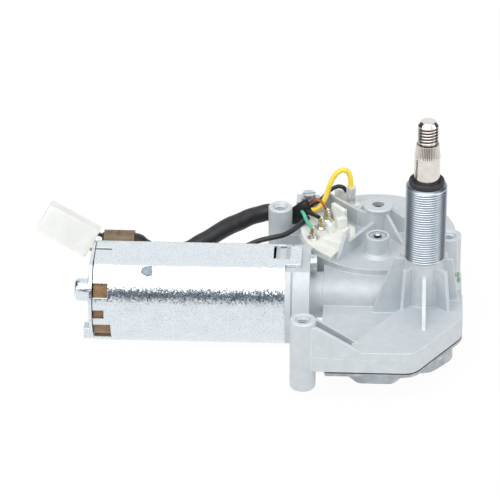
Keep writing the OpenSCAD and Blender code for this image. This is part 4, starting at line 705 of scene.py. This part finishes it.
# Solder joints: tin solder heaped up round the tabs by hand, uneven and silvery. It sets
# with a smooth skin, so each heap has small hard highlights.
solder = surface_of("tin_solder", "#c4c8ca", "#edeff0", 1.0, (0.18, 0.32), (0.06, 0.9),
                    metallic=0.9)
HEAP_LOW, HEAP_HEIGHT, HEAP_BULGE = -12.38, 5.2, 0.13
heaps = []
for turn, (x, y) in enumerate(TAB_AT):
    rise = np.linspace(0, 1, 24)
    r = np.interp(rise, [0, 0.06, 0.16, 0.4, 0.7, 0.9, 1],
                  [2.3, 1.85, 1.5, 1.45, 1.15, 0.75, 0.25])
    heap = lathe([(0, HEAP_LOW)] + list(zip(r, HEAP_LOW + HEAP_HEIGHT * rise))
                 + [(0, HEAP_LOW + HEAP_HEIGHT + 0.02)], 32)
    around = np.arctan2(heap[..., 1], heap[..., 0])
    wave = np.cos(2 * around + 2.1 * turn + 3 * heap[..., 2])
    bulge = 1 + HEAP_BULGE * wave * (heap[..., 2] > HEAP_LOW + 0.08)
    heaps.append(np.stack([heap[..., 0] * bulge + x, heap[..., 1] * bulge + y, heap[..., 2]], -1))
joints = dress(shell("solder_heaps", heaps), solder)
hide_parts("solder_joints")

# Rear spade: a tinned tag in a crimped sleeve, pushed on the terminal of the rear block.
# Its tin is pale and matt, without clear reflections.
matt_tin = surface_of("matt_tin_plate", "#d3d5d6", "#eceded", 1.5, (0.34, 0.46), (0.02, 0.5),
                      edge=0.2, metallic=0.55)
spade = dress(copy_of("spade_terminal", "spade_crimped"), matt_tin)
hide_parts("spade_terminal")

# Screws: the slotted pan-head screw that clamps the earth tag on its lug, and those of the
# flange and the cover. Their zinc plate is duller than the sleeve's.
screw_steel = surface_of("zinc_plated_screw", "#b4babf", "#dde1e4", 1.2, (0.28, 0.4),
                         (0.01, 0.4), edge=0.3, metallic=0.8)
paint(screw_steel, "earth_screw", "flange_screws", "cover_screws")
paint(tinned, "earth_tag")

# Cable clip: brown nylon, moulded round the sheath. Its edges are rounded and its skin is
# satin.
clip_nylon = surface_of("brown_nylon", "#5f4e37", "#78664c", 2.0, (0.38, 0.5), (0.02, 0.8),
                        edge=0.4)
clip = dress(copy_of("cable_clip", "cable_clip_moulded"), clip_nylon)
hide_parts("cable_clip")

# Cover: a pressed steel pan with a paper gasket, screwed under the housing. The sheet is
# grey with soft press edges, and the paper is dark with grease.
cover_steel = surface_of("pressed_zinc_sheet", "#99a0a6", "#bcc3c8", 4.0, (0.26, 0.38),
                         (0.01, 0.8), edge=0.5, metallic=1.0)
cover = dress(copy_of("cover_plate", "cover_pan"), cover_steel)
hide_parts("cover_plate")
gasket_paper = surface_of("gasket_paper", "#2f2823", "#463c35", 2.0, (0.8, 0.9), (0.03, 0.5))
paint(gasket_paper, "cover_gasket")

# Inside pieces: bushes, linkage, wheel, brushes, magnets and armature. None of them shows
# while the motor is closed, and each keeps the shape of its CAD node.
# sintered bronze: brown and grainy, dark with the oil in its pores
bronze = surface_of("sintered_bronze", "#80673d", "#b4945c", 0.8, (0.42, 0.55), (0.03, 0.3),
                    metallic=0.9)
paint(bronze, "upper_bush", "lower_bush", "end_bearing", "drive_bearing", "worm_end_bush")
# ground steel: cool grey with soft streaks of light
bright_steel = surface_of("ground_steel", "#8a9095", "#b8bdc1", 2.0, (0.2, 0.34), (0.01, 0.4),
                          metallic=1.0)
paint(bright_steel, "lever_pin", "crank_pin", "thrust_ball", "brush_springs",
      "armature_shaft", "magnet_clips", "output_lever", "connecting_rod", "wheel_washer")
# oiled steel: brown and dark, with a wet gleam
oiled_steel = surface_of("oiled_steel", "#3f352b", "#5d5042", 1.0, (0.3, 0.45), (0.01, 0.4),
                         metallic=0.8)
paint(oiled_steel, "wheel_axle")
# blackened spring steel: dark with a dull shine
black_steel = surface_of("blackened_spring_steel", "#4a4e52", "#6a6f74", 1.5, (0.3, 0.42),
                         (0.01, 0.4), metallic=1.0)
paint(black_steel, "rod_clip", "axle_clip")
# acetal: warm white and waxy, with light inside its thin edges
acetal = surface_of("white_acetal", "#ddd9ca", "#ece8da", 3.0, (0.32, 0.44), (0.01, 0.8),
                    **{"Subsurface Weight": 0.2, "Subsurface Scale": 0.002})
paint(acetal, "worm_wheel", "thrust_washer", "thrust_button")
paint(brass, "park_disc")
# pressed carbon: black and matt
carbon = surface_of("pressed_carbon", "#2a2a2c", "#3f3f42", 0.8, (0.5, 0.65), (0.02, 0.2))
paint(carbon, "carbon_brushes")
# ferrite: a dark grey ceramic, matt as slate
ferrite = surface_of("ferrite_magnet", "#3c3c3f", "#545458", 1.5, (0.5, 0.62), (0.02, 0.4))
paint(ferrite, "magnets")
# steel sheets stacked along the shaft: fine stripes across it
laminated = surface_of("laminated_core", "#666b70", "#8c9196", 0.7, (0.34, 0.5), (0.03, 0.5),
                       metallic=0.9, stretch=(3, 0.3, 0.3))
paint(laminated, "armature_core")
# enamelled copper wire: glossy red-brown turns
enamel = surface_of("enamelled_copper_wire", "#7e3a1c", "#b9663a", 0.8, (0.25, 0.4),
                    (0.12, 0.6), metallic=0.6)
paint(enamel, "armature_winding")
paint(copper, "commutator")
